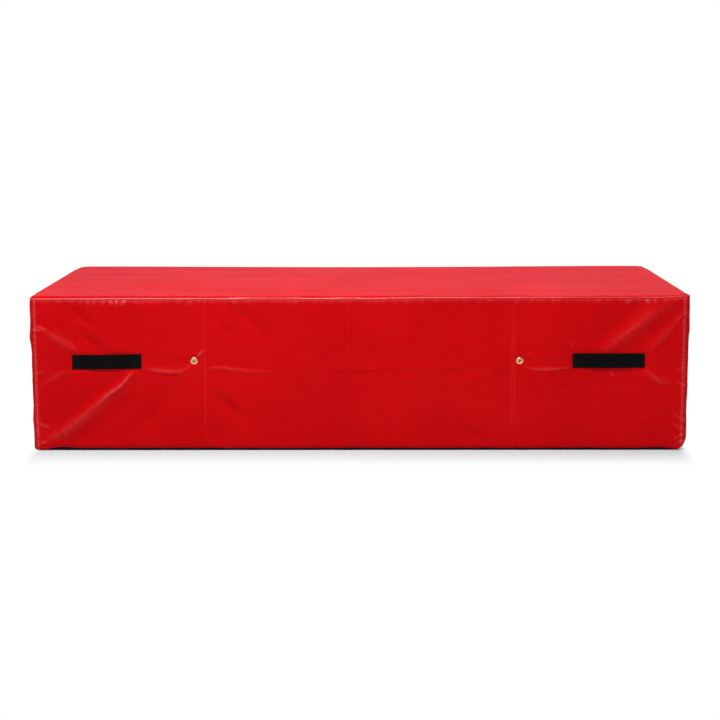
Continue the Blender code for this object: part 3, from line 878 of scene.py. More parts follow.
@dataclass(frozen=True)
class Fold:
    """A ridge in the cloth, or a valley, along a smooth line through points of the pattern.

    Along it the height follows a sine, its peak moved by the skew. Across it the height falls as
    exp(-(distance / width) to the power), with a width for its left and one for its right side,
    and a shallow trough lies beyond each side.
    """

    path: tuple[Pair, ...]
    width: Pair
    height: float
    skew: float = 1.0
    power: float = 1.3
    trough: float = 0.25
    shine: float = 0.0
    at_seam: bool = False

    def across(self, u: Array, v: Array) -> tuple[Array, Array]:
        """The share of the fold's run at the nearest point of its line, and the distance from it.

        Args:
            u: distance along the pattern.
            v: height on it.

        Returns:
            The share from 0 to 1, and the distance, positive on the fold's left.
        """
        line = spline(self.path, 6, closed=False)
        run = run_along(line)
        nearest, share, side = np.full_like(u, np.inf), np.zeros_like(u), np.zeros_like(u)
        for i in range(len(line) - 1):
            x, y = u - line[i, 0], v - line[i, 1]
            dx, dy = line[i + 1] - line[i]
            long = math.hypot(dx, dy)
            t = np.clip((x * dx + y * dy) / long**2, 0.0, 1.0)
            gap = np.hypot(x - t * dx, y - t * dy)
            closer = gap < nearest
            nearest = np.where(closer, gap, nearest)
            share = np.where(closer, (run[i] + t * long) / run[-1], share)
            side = np.where(closer, np.where(y * dx - x * dy > 0.0, gap, -gap), side)
        wander = np.sin(share * run[-1] * 70.0 + 9.0 * self.path[0][0])
        return share, side + 0.05 * min(self.width) * wander

    def rise(self, u: Array, v: Array) -> tuple[Array, Array]:
        """Height over the pattern, and the crest's shine: its polish and its painted highlight."""
        reach = 5.0 * max(self.width)
        low, high = np.min(self.path, axis=0) - reach, np.max(self.path, axis=0) + reach
        near = (u > low[0]) & (u < high[0]) & (v > low[1]) & (v < high[1])
        height, shine = np.zeros_like(u), np.zeros_like(u)
        share, side = self.across(u[near], v[near])
        swell = np.sin(math.pi * share**self.skew)
        wide = np.where(side > 0.0, self.width[0], self.width[1]) * (0.55 + 0.45 * np.sqrt(swell))
        t = np.abs(side) / wide
        height[near] = self.height * swell * (np.exp(-(t**self.power)) - self.trough * bell(t - 2.2, 1.0))
        # Uneven strength of the crest's polish and painted highlight along it.
        wear_and_sheen = 0.75 + 0.25 * np.sin(260.0 * v[near] + 190.0 * u[near] + 3.0 * np.sin(47.0 * v[near]))
        shine[near] = self.shine * swell * wear_and_sheen * bell(t, 0.7)
        return height, shine


@dataclass(frozen=True)
class Dimple:
    """A place where the cloth is held down: flat to one radius, back to its own height at another."""

    centre: Pair
    flat: float
    far: float
    dent: float = 0.0012

    def away(self, u: Array, v: Array) -> Array:
        """Distance from the centre."""
        return np.hypot(u - self.centre[0], v - self.centre[1])

    def hold(self, u: Array, v: Array) -> Array:
        """0 where the cloth is held, 1 where it is free."""
        return smooth(self.away(u, v), self.flat, self.far)

    def press(self, u: Array, v: Array) -> Array:
        """How far the cloth is pressed in, in a ring just outside the flat."""
        return self.dent * bell(self.away(u, v) - self.flat - 0.0015, 0.003)


@dataclass(frozen=True)
class Patch:
    """A rectangle where the cloth is held down, with soft edges."""

    centre: Pair
    half: Pair
    soft: float
    slack: float = 0.0

    def hold(self, u: Array, v: Array) -> Array:
        """The slack where the cloth is held, 1 where it is free."""
        x = np.abs(u - self.centre[0]) - self.half[0]
        y = np.abs(v - self.centre[1]) - self.half[1]
        free = smooth(np.hypot(np.maximum(x, 0.0), np.maximum(y, 0.0)), 0.0, self.soft)
        return self.slack + (1.0 - self.slack) * free


@dataclass(frozen=True)
class Ridge:
    """A ridge that follows a seam at some distance, or a groove, whose section is a bell."""

    height: float
    place: float
    width: float

    def rise(self, away: Array) -> Array:
        """Height at a distance from the seam."""
        return self.height * bell(away - self.place, self.width)


@dataclass(frozen=True)
class Swell:
    """Broad, low waves: sines of seeded direction, length and phase, which bend one another."""

    seed: int
    height: float
    shortest: float
    longest: float
    count: int = 9
    stretch: Pair = (1.0, 1.0)

    def rise(self, u: Array, v: Array) -> Array:
        """Height over the pattern."""
        rng = np.random.default_rng(self.seed)
        total, warp = np.zeros_like(u), np.zeros_like(u)
        for _ in range(self.count):
            heading, phase = rng.uniform(0, math.tau, 2)
            size = rng.uniform(self.shortest, self.longest)
            x, _ = turned(u, v, heading, self.stretch)
            wave = np.sin(math.tau * x / size + phase + 0.9 * warp)
            warp = 0.6 * warp + wave
            total += wave
        return self.height * total / math.sqrt(self.count)


@dataclass(frozen=True)
class Crumple:
    """Fine random creases: crests where a bent sine passes zero, in clouds."""

    seed: int
    height: float
    size: float
    stretch: Pair = (1.0, 1.0)

    def rise(self, u: Array, v: Array) -> Array:
        """Height over the pattern: each of five layers adds (1 - |sine|) to the power 4."""
        rng = np.random.default_rng(self.seed)
        total = np.zeros_like(u)
        for _ in range(5):
            heading, phase, other = rng.uniform(0, math.tau, 3)
            size = self.size * rng.uniform(0.7, 1.6)
            x, y = turned(u, v, heading, self.stretch)
            bend = 1.3 * np.sin(math.tau * y / (2.3 * size) + other)
            crest = (1.0 - np.abs(np.sin(math.pi * x / size + phase + bend))) ** 4
            total += crest * smooth(np.sin(math.tau * y / (1.7 * size) + phase), -0.2, 0.9)
        return self.height * total


@dataclass(frozen=True)
class Puckers:
    """Small pleats that stand off a seam: bells along it that die away from it."""

    seed: int
    span: Pair
    pitch: float
    reach: float
    height: float
    width: float = 0.006
    crowds: tuple[Triple, ...] = ()

    def rise(self, along: Array, away: Array) -> Array:
        """Height over the cloth.

        Args:
            along: distance along the seam.
            away: distance from the seam.

        Returns:
            The height. Each crowd is a place, a reach and a factor by which pleats there grow.
        """
        rng = np.random.default_rng(self.seed)
        count = max(1, int((self.span[1] - self.span[0]) / self.pitch))
        total = np.zeros_like(along)
        for i in range(count):
            place = self.span[0] + self.pitch * (i + rng.uniform(0.1, 0.9))
            height, wide, far, lean = rng.uniform((0.15, 0.6, 0.5, -0.5), (1.0, 1.6, 1.6, 0.5))
            for spot, reach, factor in self.crowds:
                height *= 1.0 + factor * math.exp(-(((place - spot) / reach) ** 2))
            fade = np.exp(-np.abs(away) / (self.reach * far))
            total += height * fade * bell(along - place - lean * away, self.width * wide)
        return self.height * total


def fan(
    centre: Pair,
    headings: Pair,
    reach: Pair,
    height: float,
    count: int,
    seed: int,
) -> list[Fold]:
    """Small folds that spread from a place where the cloth is pulled.

    Args:
        centre: the place.
        headings: the first and last direction, in degrees.
        reach: the shortest and longest fold.
        height: the greatest height.
        count: how many folds.
        seed: the seed of their lengths.

    Returns:
        The folds.
    """
    rng = np.random.default_rng(seed)
    folds = []
    for i in range(count):
        share = (i + rng.uniform(0.2, 0.8)) / count
        heading = math.radians(headings[0] + share * (headings[1] - headings[0]))
        long = rng.uniform(*reach)
        step = np.array([math.cos(heading), math.sin(heading)])
        path = tuple(tuple(np.array(centre) + d * long * step) for d in (0.15, 1.0))
        wide = long * rng.uniform(0.04, 0.09)
        folds.append(Fold(path, (wide, wide), height * rng.uniform(0.4, 1.0), skew=0.6))
    return folds


def inset(outline: Array, distance: float) -> Array:
    """Moves an anticlockwise outline inwards along its normals."""
    run = np.roll(outline, -1, axis=0) - np.roll(outline, 1, axis=0)
    out = joined(run[:, 1], -run[:, 0]) / np.linalg.norm(run, axis=1, keepdims=True)
    return outline - distance * out


def slab(outline: Array, low: float, high: float, edge: float, steps: int = 4) -> Array:
    """Rings of a flat piece with rounded edges.

    Args:
        outline: its anticlockwise outline.
        low: its lowest level.
        high: its highest level.
        edge: the radius of its edges.
        steps: rings on each edge.

    Returns:
        The rings from low to high: quarter circles at the edges, and two rings within each face.
    """
    turn = np.linspace(0.0, math.pi / 2, steps)
    inwards = np.concatenate([edge * (1 - np.sin(turn)), edge * (1 - np.sin(turn[::-1]))])
    levels = np.concatenate([low + edge * (1 - np.cos(turn)), high - edge * (1 - np.cos(turn[::-1]))])
    rings = [joined(*inset(outline, d).T, z) for d, z in zip(inwards, levels)]
    middle = np.append(outline.mean(axis=0), 0.0)
    for at, ring in ((0, rings[0]), (len(rings) + 1, rings[-1])):
        centre = middle + (0, 0, ring[0, 2])
        rings.insert(at, centre + 0.6 * (ring - centre))
    return np.array(rings)[None]


def rounded_outline(half: Pair, radius: float, step: float) -> Array:
    """An anticlockwise rectangle with round corners and points at most a step apart."""
    corners = np.array([(1, 1), (-1, 1), (-1, -1), (1, -1)]) * (np.array(half) - radius)
    parts = []
    for i, corner in enumerate(corners):
        turn = np.linspace(i, i + 1, 7) * math.pi / 2
        arc = corner + radius * joined(np.cos(turn), np.sin(turn))
        run = corners[(i + 1) % 4] - corner
        count = max(1, math.ceil(np.linalg.norm(run) / step))
        parts += [arc[:-1], arc[-1] + np.linspace(0, 1, count + 1)[:-1, None] * run]
    return np.concatenate(parts)


@dataclass(frozen=True)
class Stitching:
    """A row of short threads: the pitch and length of its stitches, and the thread's radius."""

    pitch: float
    length: float
    radius: float

    def row(self, path: Sequence[Pair]) -> tuple[Array, Array]:
        """The middles and directions of even stitches along a path of straight runs."""
        places, headings = [], []
        for start, end in zip(path[:-1], path[1:]):
            run = np.subtract(end, start)
            count = max(1, round(float(np.hypot(*run)) / self.pitch))
            share = (np.arange(count)[:, None] + 0.5) / count
            places.append(np.array(start) + share * run)
            headings.append(np.full(count, math.atan2(run[1], run[0])))
        return np.concatenate(places), np.concatenate(headings)

    def threads(self, places: Array, headings: Array, out: float) -> Array:
        """The stitches' rings, swept along each, with radii that follow a half ellipse.

        Args:
            places: the stitches' middles on the pattern.
            headings: their directions.
            out: how far out from the wall their middles lie.

        Returns:
            Their rings in pattern coordinates: along, up and out.
        """
        t = np.linspace(-0.92, 0.92, 4)[:, None]
        x = t * self.length / 2
        y, z = (part * np.sqrt(1.0 - t**2) for part in oval(6, self.radius, self.radius).T)
        cos, sin = (wave(headings)[:, None, None] for wave in (np.cos, np.sin))
        u, v = (place[:, None, None] for place in places.T)
        return joined(u + x * cos - y * sin, v + x * sin + y * cos, out + z)


@dataclass
class Cover:
    """The sewn panels: the top, the walls, of which the back is two strips, and the base."""

    block: Block
    cloth: Material
    underside: Material
    folds: list[Fold]
    handles: list[Patch]
    eyelets: list[Dimple]
    zip_height: float
    zip_opening: float
    zip_end: float
    creased: Triple = (-0.47, 0.4695, -0.0215)
    base_inwards: Pair = (0.0025, 0.0052)
    base_edge: float = 0.004
    base_lip: float = 0.013
    step: float = 0.0044
    thickness: float = 0.001
    fine: float = 0.42
    fine_reach: float = 0.014
    crown: float = 0.0016
    hem: Ridge = Ridge(0.0012, 0.0, 0.0028)
    hem_dip: Ridge = Ridge(-0.0009, 0.0075, 0.0035)
    top_dip: Ridge = Ridge(-0.0004, 0.0, 0.003)
    # Width of the painted highlight along the upright seams.
    seam_highlight_width: float = 0.003
    vent_hole: float = 0.0064
    lid_crown: float = 0.0022
    groove: Ridge = Ridge(-0.0074, 0.0083, 0.0022)
    bead: Ridge = Ridge(0.0021, 0.0026, 0.002)
    # The painted highlight along the top's bead, as shine.
    gleam: Ridge = Ridge(0.88, 0.0032, 0.0024)
    puff: float = 0.002
    blunt: float = 0.0024
    blunt_reach: float = 0.016
    tucks: tuple[Pair, ...] = ((-0.985, -0.4), (-0.2, -0.11), (0.0, 0.22), (0.36, 0.54), (0.7, 0.96))
    crowds: tuple[Triple, ...] = (
        (-0.75, 0.08, 3.0),
        (-0.48, 0.03, 1.5),
        (-0.355, 0.02, 2.2),
        (0.565, 0.03, 2.4),
        (0.865, 0.07, 3.6),
    )

    def fullness(self, u: Array, v: Array, lines: Sequence[float], low: float, high: float) -> Array:
        """The crown of the cloth between upright creases: 1 - distance to the power 4, each way."""
        ends = np.array(sorted(lines))
        i = np.clip(np.searchsorted(ends, u) - 1, 0, len(ends) - 2)
        s = np.clip(2 * (u - ends[i]) / (ends[i + 1] - ends[i]) - 1, -1, 1)
        t = np.clip(2 * (v - low) / (high - low) - 1, -1, 1)
        return (1 - s**4) * (1 - t**4)

    def pulls(self, face: Face, u: Array, v: Array) -> tuple[Array, Array, Array]:
        """The folds of a wall.

        The front has all of its own, and the ends have those that cross its upright seams and a few
        more. The back has the front's, seen through the block and weaker.

        Args:
            face: the wall.
            u: distance along the wall.
            v: height on the pattern.

        Returns:
            The height of the folds within the wall, of those that cross a seam, and the shine.
        """
        own, across, shine = (np.zeros_like(u) for _ in range(3))
        joint = self.block.reach(Face.FRONT) + self.block.reach(face)
        shift = {Face.FRONT: 0.0, Face.RIGHT: joint, Face.LEFT: -joint}
        for fold in self.folds if face in shift else ():
            if face is Face.FRONT or fold.at_seam:
                height, gleam = fold.rise(u + shift[face], v)
                own += height * (not fold.at_seam)
                across += height * fold.at_seam
                shine += gleam
        if face is Face.BACK:
            own += sum(0.6 * fold.rise(-u, v)[0] for fold in self.folds if not fold.at_seam)
        elif face is not Face.FRONT:
            run = u if face is Face.RIGHT else 0.03 - 0.9 * u
            own += sum(fold.rise(run, v)[0] for fold in self.end_folds())
        return own, across, shine

    def end_folds(self) -> list[Fold]:
        """Soft folds of the end walls, from the upright seams inwards, and two valleys between."""
        high_front = ((-0.42, 0.385), (-0.33, 0.33), (-0.2, 0.262), (-0.07, 0.225))
        low_front = ((-0.43, 0.075), (-0.34, 0.105), (-0.24, 0.15), (-0.15, 0.17))
        high_back = ((0.42, 0.4), (0.35, 0.33), (0.31, 0.22), (0.3, 0.12))
        low_back = ((0.43, 0.065), (0.33, 0.082), (0.2, 0.085))
        valley = ((-0.1, 0.43), (-0.06, 0.33), (-0.03, 0.2), (-0.04, 0.06))
        return [
            Fold(high_front, (0.026, 0.018), 0.004, skew=0.7),
            Fold(low_front, (0.018, 0.022), 0.0034, skew=0.7),
            Fold(high_back, (0.022, 0.016), 0.0038, skew=0.7),
            Fold(low_back, (0.014, 0.018), 0.003, skew=0.7),
            Fold(valley, (0.02, 0.03), -0.004),
            Fold(((0.06, 0.14), (0.16, 0.2), (0.24, 0.28)), (0.02, 0.03), -0.0034),
        ]

    def relief(self, face: Face, u: Array, v: Array, low: float) -> tuple[Array, Array]:
        """How a wall's cloth stands off its plane, and its shine: polish and painted highlight.

        Args:
            face: the wall.
            u: distance along the wall.
            v: height on the pattern.
            low: height of its lower edge, or of the zip's opening.

        Returns:
            The height and the shine.
        """
        reach, top, seed = self.block.reach(face), self.block.wall_top(), 11 * face.value
        side, above = reach - np.abs(u), top - v
        front = face is Face.FRONT
        lines = [-reach, -0.47, 0.469, reach] if face.long else [-reach, reach]
        rise = self.crown * self.fullness(u, v, lines, low, top)
        rise += Swell(seed + 1, height=0.0009, shortest=0.1, longest=0.5).rise(u, v)
        rise += Crumple(seed + 2, height=0.00075, size=0.13).rise(u, v)
        own, across, shine = self.pulls(face, u, v)
        rise += own
        if face.long:
            along = u if front else -u
            for held in self.handles + self.eyelets:
                rise *= held.hold(along, v)
            for held in self.eyelets:
                rise -= held.press(along, v)
        calm = smooth(side, 0.0, 0.024) * smooth(above, 0.0, 0.014)
        if face is Face.BACK:
            calm *= smooth(np.abs(v - self.zip_height), self.zip_opening, self.zip_opening + 0.016)
        rise = rise * calm + across
        crowds = self.crowds if front else ()
        puckers = Puckers(seed + 3, (-reach, reach), 0.019, 0.008, 0.0018, 0.0046, crowds)
        pleats = puckers.rise(u, above) * smooth(above, 0.0, 0.004)
        ticks = Puckers(seed + 4, (0.0, top), 0.022, 0.008, 0.001, 0.005).rise(v, side)
        rise += pleats + ticks * smooth(side, 0.0, 0.003)
        rise += self.hem.rise(side) + self.hem_dip.rise(side) + self.top_dip.rise(above)
        # Painted highlights, as shine: dotted lines by the upright seams, stronger at the front's left, a
        # line along the wall's top edge, and the tops of the pleats and ticks.
        dots = 0.7 + 0.3 * np.sin(v * 370.0 + 3.0 * np.sin(v * 41.0))
        seam_highlight = np.where(u < 0, 0.4, 0.25) if front else 0.12
        ridge = np.where(u < 0, 0.001, 0.0048) if front else 0.001
        shine += seam_highlight * dots * bell(side - ridge, self.seam_highlight_width) + 0.16 * bell(above - 0.001, 0.004)
        shine += 190.0 * pleats * bell(above - 0.006, 0.009) + 120.0 * ticks
        return rise, np.clip(shine, 0.0, 1.0)

    def wall(
        self, name: str, face: Face, low: float | None, high: float, fine: tuple[Sequence[float], ...]
    ) -> None:
        """One wall, or a strip of it. The zip's opening is closed past its end tabs.

        Args:
            name: the node that it stands for.
            face: the wall.
            low: its lower edge on the pattern, or None for the foot.
            high: its upper edge.
            fine: where its points lie closer along the wall, and up it.
        """
        reach = self.block.reach(face)
        edges = [0.0, high] if low is None else [low, high]
        close = {"fine": self.fine, "reach": self.fine_reach}
        along, turned = hemmed(stations(-reach, reach, self.step, [-reach, reach, *fine[0]], **close))
        up, tucked = hemmed(stations(edges[0], high, self.step, [*edges, *fine[1]], **close))
        u, v = np.meshgrid(along, up)
        if low is None:
            foot = self.block.foot(face, along)[None, :]
            v = foot + v * (high - foot) / high
        if face is Face.BACK:
            edge = high if low is None else low
            shut = smooth(np.abs(u), self.zip_end - 0.012, self.zip_end - 0.002) * bell(v - edge, 0.012)
            v = v + 0.97 * shut * (self.zip_height - edge)
        rise, shine = self.relief(face, u, v, edges[0])
        rise = rise - self.thickness * np.maximum(turned[None, :], tucked[:, None])
        points = self.block.slump(self.block.wrap(face, u, v, rise))
        flip = {Face.FRONT: 1, Face.BACK: -1}.get(face)
        vents = self.eyelets if flip else ()
        holes = [(flip * vent.centre[0], vent.centre[1], self.vent_hole) for vent in vents]
        sheet = Surface(points[None], joined(u, v), shine=shine, holes=holes)
        self.finish(name, sheet, self.cloth, (2 * reach, high - float(v.min())))

    def finish(self, node: str, sheet: Surface, material: Material, flat: Pair) -> None:
        """Makes a panel's object, in place of its node."""
        item = settle(add_piece(node + "_cloth", [sheet], material, 60.0), "block", [node])

    def tray(
        self, half: Pair, corner: float, edge: float, lip: float, step: float
    ) -> tuple[Array, ...]:
        """A panel that turns down round its edges, as a grid wrapped on it.

        The grid's distance past the straight part, the greater of its two, runs along the profile:
        flat, a quarter circle, then straight down. At a corner the ratio of the two gives the
        direction, so that squares become arcs. The grid's edges are turned back under it.

        Args:
            half: half its length and depth.
            corner: radius of its corners in plan.
            edge: radius of its edge.
            lip: how far it comes down.
            step: the usual gap of the grid.

        Returns:
            The grid's two coordinates, x, y, the drop, the normals and the distance left to the edge.
        """
        skirt = corner - edge + edge * math.pi / 2 + lip - edge
        ends = [h - corner + skirt for h in half]
        (a, turned), (b, tucked) = (hemmed(stations(-e, e, step, [-e, e], 0.085, 0.016)) for e in ends)
        deep = np.maximum(turned[None, :], tucked[:, None])
        a, b = np.meshgrid(a, b)
        ox, oy = (np.maximum(0.0, np.abs(g) - h + corner) for g, h in zip((a, b), half))
        far, near = np.maximum(ox, oy), np.minimum(ox, oy)
        angle = math.pi / 4 * near / np.maximum(far, 1e-9)
        angle = np.where(ox >= oy, angle, math.pi / 2 - angle)
        turn = np.clip((far - corner + edge) / edge, 0.0, math.pi / 2)
        outwards = np.where(turn > 0.0, corner - edge + edge * np.sin(turn), far)
        drop = edge * (1 - np.cos(turn)) + np.maximum(0.0, far - (skirt - lip + edge))
        x = np.sign(a) * (np.minimum(np.abs(a), half[0] - corner) + outwards * np.cos(angle))
        y = np.sign(b) * (np.minimum(np.abs(b), half[1] - corner) + outwards * np.sin(angle))
        level = (np.sign(a) * np.cos(angle) * np.sin(turn), np.sign(b) * np.sin(angle) * np.sin(turn))
        normal = joined(*level, np.cos(turn))
        x, y = (q - self.thickness * deep * normal[..., i] for i, q in enumerate((x, y)))
        return a, b, x, y, drop, normal, skirt - far

    def top(self) -> None:
        """The top panel, whose edge is drawn over into a bright rolled bead, with a painted highlight along
        it.
        """
        block = self.block
        half = (block.length / 2, block.depth / 2)
        a, b, x, y, drop, normal, seam = self.tray(half, block.corner, block.top_edge, block.lip, 0.0082)
        run = np.where(half[0] - np.abs(a) > half[1] - np.abs(b), a, b)
        front = smooth(-y, half[1] - 0.09, half[1] - 0.05)
        rise = self.lid_crown * (1 - (x / half[0]) ** 6) * (1 - (y / half[1]) ** 4)
        rise += Swell(71, height=0.0009, shortest=0.25, longest=0.9, stretch=(1.5, 1.0)).rise(x, y)
        rise += Crumple(72, height=0.0003, size=0.22, stretch=(1.6, 1.0)).rise(x, y)
        for fold in self.top_folds():
            rise += fold.rise(x, y)[0]
        rise *= smooth(seam, 0.02, 0.05)
        puckers = Puckers(73, (-1.0, 1.0), 0.017, 0.007, 0.0013, 0.0045, self.crowds)
        pleats = puckers.rise(run, np.maximum(seam - 0.004, 0.0)) * smooth(seam, 0.001, 0.006)
        rise += pleats * (0.3 + 0.7 * front)
        wander = 0.75 + 0.25 * np.sin(run * 31.0 + 1.7 * np.sin(run * 13.0))
        tuck = np.zeros_like(x)
        for start, end in self.tucks:
            span = smooth(run, start, start + 0.03) * (1.0 - smooth(run, end - 0.03, end))
            tuck = np.maximum(tuck, span)
        deep = (0.3 + 0.7 * tuck) * (0.25 + 0.75 * front) * wander
        rise += self.puff * deep * smooth(seam, 0.0122, 0.0195) * (1.0 - 0.7 * smooth(seam, 0.023, 0.08))
        rise += deep * self.groove.rise(seam)
        corner = bell(half[0] - np.abs(x), self.blunt_reach) * bell(half[1] - np.abs(y), self.blunt_reach)
        rise += self.bead.rise(seam) * wander * (0.4 + 0.6 * front) * (1.0 - corner)
        rise -= self.blunt * corner * smooth(seam, 0.0, 0.004)
        flat = joined(x, y, block.height - drop)
        points = block.rounded(flat) + rise[..., None] * normal
        # The bead's painted highlight: strongest along the front, weaker towards the right, and on the
        # front's puckers.
        wear_and_sheen = (0.4 + 0.6 * front) * (1.0 - 0.45 * smooth(run, 0.54, 0.66))
        shine = self.gleam.rise(seam) * (0.6 + 0.4 * wander) * wear_and_sheen + 60.0 * pleats * front
        sheet = Surface(block.slump(points)[None], joined(a, b), shine=np.clip(shine, 0, 1))
        self.finish("cover_top", sheet, self.cloth, (2 * float(a.max()), 2 * float(b.max())))

    def top_folds(self) -> list[Fold]:
        """Faint lines on the top: three that run to the right front corner, and two at the left."""
        thin = {"power": 1.5, "trough": 0.5}
        return [
            Fold(((0.55, -0.43), (0.76, -0.436), (0.955, -0.414)), (0.007, 0.005), 0.0016, **thin),
            Fold(((0.62, -0.37), (0.85, -0.33), (0.965, -0.2)), (0.01, 0.008), 0.0014, **thin),
            Fold(((0.8, -0.395), (0.9, -0.36), (0.98, -0.27)), (0.008, 0.006), 0.0014, **thin),
            Fold(((-0.985, -0.439), (-0.93, -0.41), (-0.8, -0.375)), (0.008, 0.006), 0.0014, **thin),
            Fold(((-0.951, -0.43), (-0.957, -0.39)), (0.005, 0.004), 0.0014, **thin),
            Fold(((-0.2, -0.4), (-0.18, -0.3), (-0.11, -0.03)), (0.02, 0.012), 0.0016),
            Fold(((0.1, -0.36), (0.02, -0.2), (-0.05, 0.1)), (0.02, 0.012), 0.0012),
        ]

    def base(self) -> None:
        """The base panel, which turns up behind the foot of the walls."""
        block, inwards = self.block, self.base_inwards
        half = (block.length / 2 - inwards[0], block.depth / 2 - inwards[1])
        corner = block.corner - inwards[0]
        a, b, x, y, up, normal, left = self.tray(half, corner, self.base_edge, self.base_lip, 0.0105)
        rise = 0.0005 + 0.0005 * np.sin(40.0 * a) * np.sin(47.0 * b + 1.0)
        rise *= smooth(up, 0.001, 0.004) * smooth(left, 0.0, 0.006)
        points = joined(x, y, up) + rise[..., None] * normal * (1, 1, -1)
        points = block.rounded(points, inwards[0])[::-1]
        sheet = Surface(points[None], joined(a, b)[::-1])
        self.finish("cover_base", sheet, self.underside, (2 * float(a.max()), 2 * float(b.max())))

    def make(self) -> None:
        """Makes every panel, with closer points at the front's upright creases."""
        top, low = self.block.wall_top(), self.zip_height - self.zip_opening
        vents = [vent.centre[0] for vent in self.eyelets]
        level = self.eyelets[0].centre[1]
        up = [level, level - 0.025, 0.375, 0.05]
        self.wall("cover_front", Face.FRONT, None, top, ([*self.creased, *vents], up))
        self.wall("cover_right_end", Face.RIGHT, None, top, ([], [0.05]))
        self.wall("cover_left_end", Face.LEFT, None, top, ([], [0.375, 0.05]))
        high = low + 2 * self.zip_opening
        self.wall("cover_back_upper", Face.BACK, high, top, ([-u for u in vents], [level]))
        self.wall("cover_back_lower", Face.BACK, None, low, ([], []))
        self.top()
        self.base()


@dataclass
class Filling:
    """The foam: a soft core between a firm layer on top and one of bonded chips at the base."""

    block: Block

    def layer(self, node: str, slot: str, material: Material, edge: float) -> None:
        """One layer, in the room of its node. Its edges are rounded."""
        low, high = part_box(node)
        outline = rounded_outline((high.x, high.y), 0.012, 0.05)
        rings = slab(outline, low.z, high.z, edge)
        rings = self.block.slump(self.block.rounded(rings, self.block.length / 2 - high.x), cloth=False)
        item = add_piece(node + "_foam", [loft(rings)], material, 40.0)
        settle(item, "block", [node])

    def make(self) -> None:
        """Makes the three layers."""
        self.layer("foam_base_layer", "firm_base_foam", BASE_FOAM.material("bonded_foam"), 0.014)
        self.layer("foam_core", "core_foam", CORE_FOAM.material("core_foam"), 0.003)
        self.layer("foam_top_layer", "firm_top_foam", TOP_FOAM.material("top_foam"), 0.004)


@dataclass
class Handle:
    """A length of webbing sewn down at both ends, and the patch behind it inside the cover."""

    block: Block
    face: Face
    word: str
    webbing: Material
    thread: Material
    lining: Material
    lift: float = 0.0
    tilt: float = 0.0
    width: float = 0.045
    thickness: float = 0.0018
    arch: float = 0.0045
    crown: float = 0.0007
    sewn_end: float = 0.02
    seat: float = 0.0003
    box: Pair = (0.015, 0.0375)
    margin: float = 0.0032
    stitching: Stitching = Stitching(0.0032, 0.0027, 0.00038)

    def __post_init__(self) -> None:
        """Reads its place from its node's box."""
        (x, _, z), (half, _, _) = centred("handle_" + self.word)
        self.length = 2 * half
        self.along = x if self.face is Face.FRONT else -x
        self.height = z + self.lift
        self.body = self.word + "_strap"

    def rise(self, x: Array) -> Array:
        """Gap behind the strap: the arch times (1 - share cubed) to the power 1.5."""
        share = np.minimum(1.0, np.abs(x) / (self.length / 2 - self.sewn_end))
        return self.arch * (1 - share**3) ** 1.5

    def half_strap(self, side: int) -> None:
        """Half of the strap, from its sewn end to its middle, swept with a rounded section.

        Args:
            side: -1 for the half at the pattern's left, 1 for the right.
        """
        x = np.sort(np.linspace(-self.length / 2, 0.0, 44) * -side)[:, None]
        y, thick = oval(56, self.width / 2, self.thickness / 2, 0.22).T
        gap = self.rise(x)
        grip = np.minimum(1.0, gap / self.arch)
        crown = self.crown * grip * (1 - (2 * y / self.width) ** 2)
        thin = 1 - 0.16 * smooth(np.abs(x), self.length / 2 - 0.0015, self.length / 2)
        z = self.seat + self.thickness / 2 + gap + (thick + crown) * thin
        y = y * (1 - 0.012 * grip * bell(x, 0.07))
        points = self.block.wrap(self.face, self.along + x, self.height + self.tilt * x + y, z)
        word = "left" if side < 0 else "right"
        item = add_piece(f"strap_{self.word}_{word}_half", [loft(points[None])], self.webbing, 50.0)
        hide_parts("handle_" + self.word)
        places = (self.along + side * d for d in (self.length / 2 - self.sewn_end, 0.02))
        level = np.array([self.height])
        start, end = (Vector(self.block.wrap(self.face, np.array([u]), level)[0]) for u in places)
        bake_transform(item)

    def box_stitching(self) -> None:
        """A sewn box with a cross in it at each end."""
        wide, high = self.box[0] / 2, self.box[1] / 2
        around = [(-wide, -high), (wide, -high), (wide, high), (-wide, high), (-wide, -high), (wide, high)]
        runs = []
        for side in (-1, 1):
            middle = side * (self.length / 2 - self.margin - wide)
            for path in (around, [(-wide, high), (wide, -high)]):
                runs.append(self.stitching.row([(middle + x, y) for x, y in path]))
        places, headings = (np.concatenate([run[i] for run in runs]) for i in (0, 1))
        tilted = joined(0.0, self.tilt * places[:, 0])
        out = self.seat + self.thickness + 0.00002
        rings = self.stitching.threads(places + tilted + (self.along, self.height), headings, out)
        points = self.block.wrap(self.face, *(rings[..., i] for i in range(3)))
        settle(add_piece(f"stitching_{self.word}", [loft(points)], self.thread), "block")

    def patch(self) -> None:
        """The reinforcing patch inside the cover."""
        node = "handle_patch_" + self.word
        (_, y, _), (wide, _, high) = centred(node)
        outline = rounded_outline((wide, high), 0.008, 0.02)
        middle = self.block.depth / 2 - abs(y)
        rings = slab(outline, -middle - 0.0005, -middle + 0.0005, 0.0003, 2)
        u, v, out = (rings[..., i] for i in range(3))
        points = self.block.wrap(self.face, self.along + u, self.height + v, out)
        item = add_piece(node + "_cloth", [loft(points)], self.lining, 40.0)
        settle(item, "block", [node])

    def make(self) -> None:
        """Makes the strap, its stitching and its patch."""
        for side in (-1, 1):
            self.half_strap(side)
        self.box_stitching()
        self.patch()


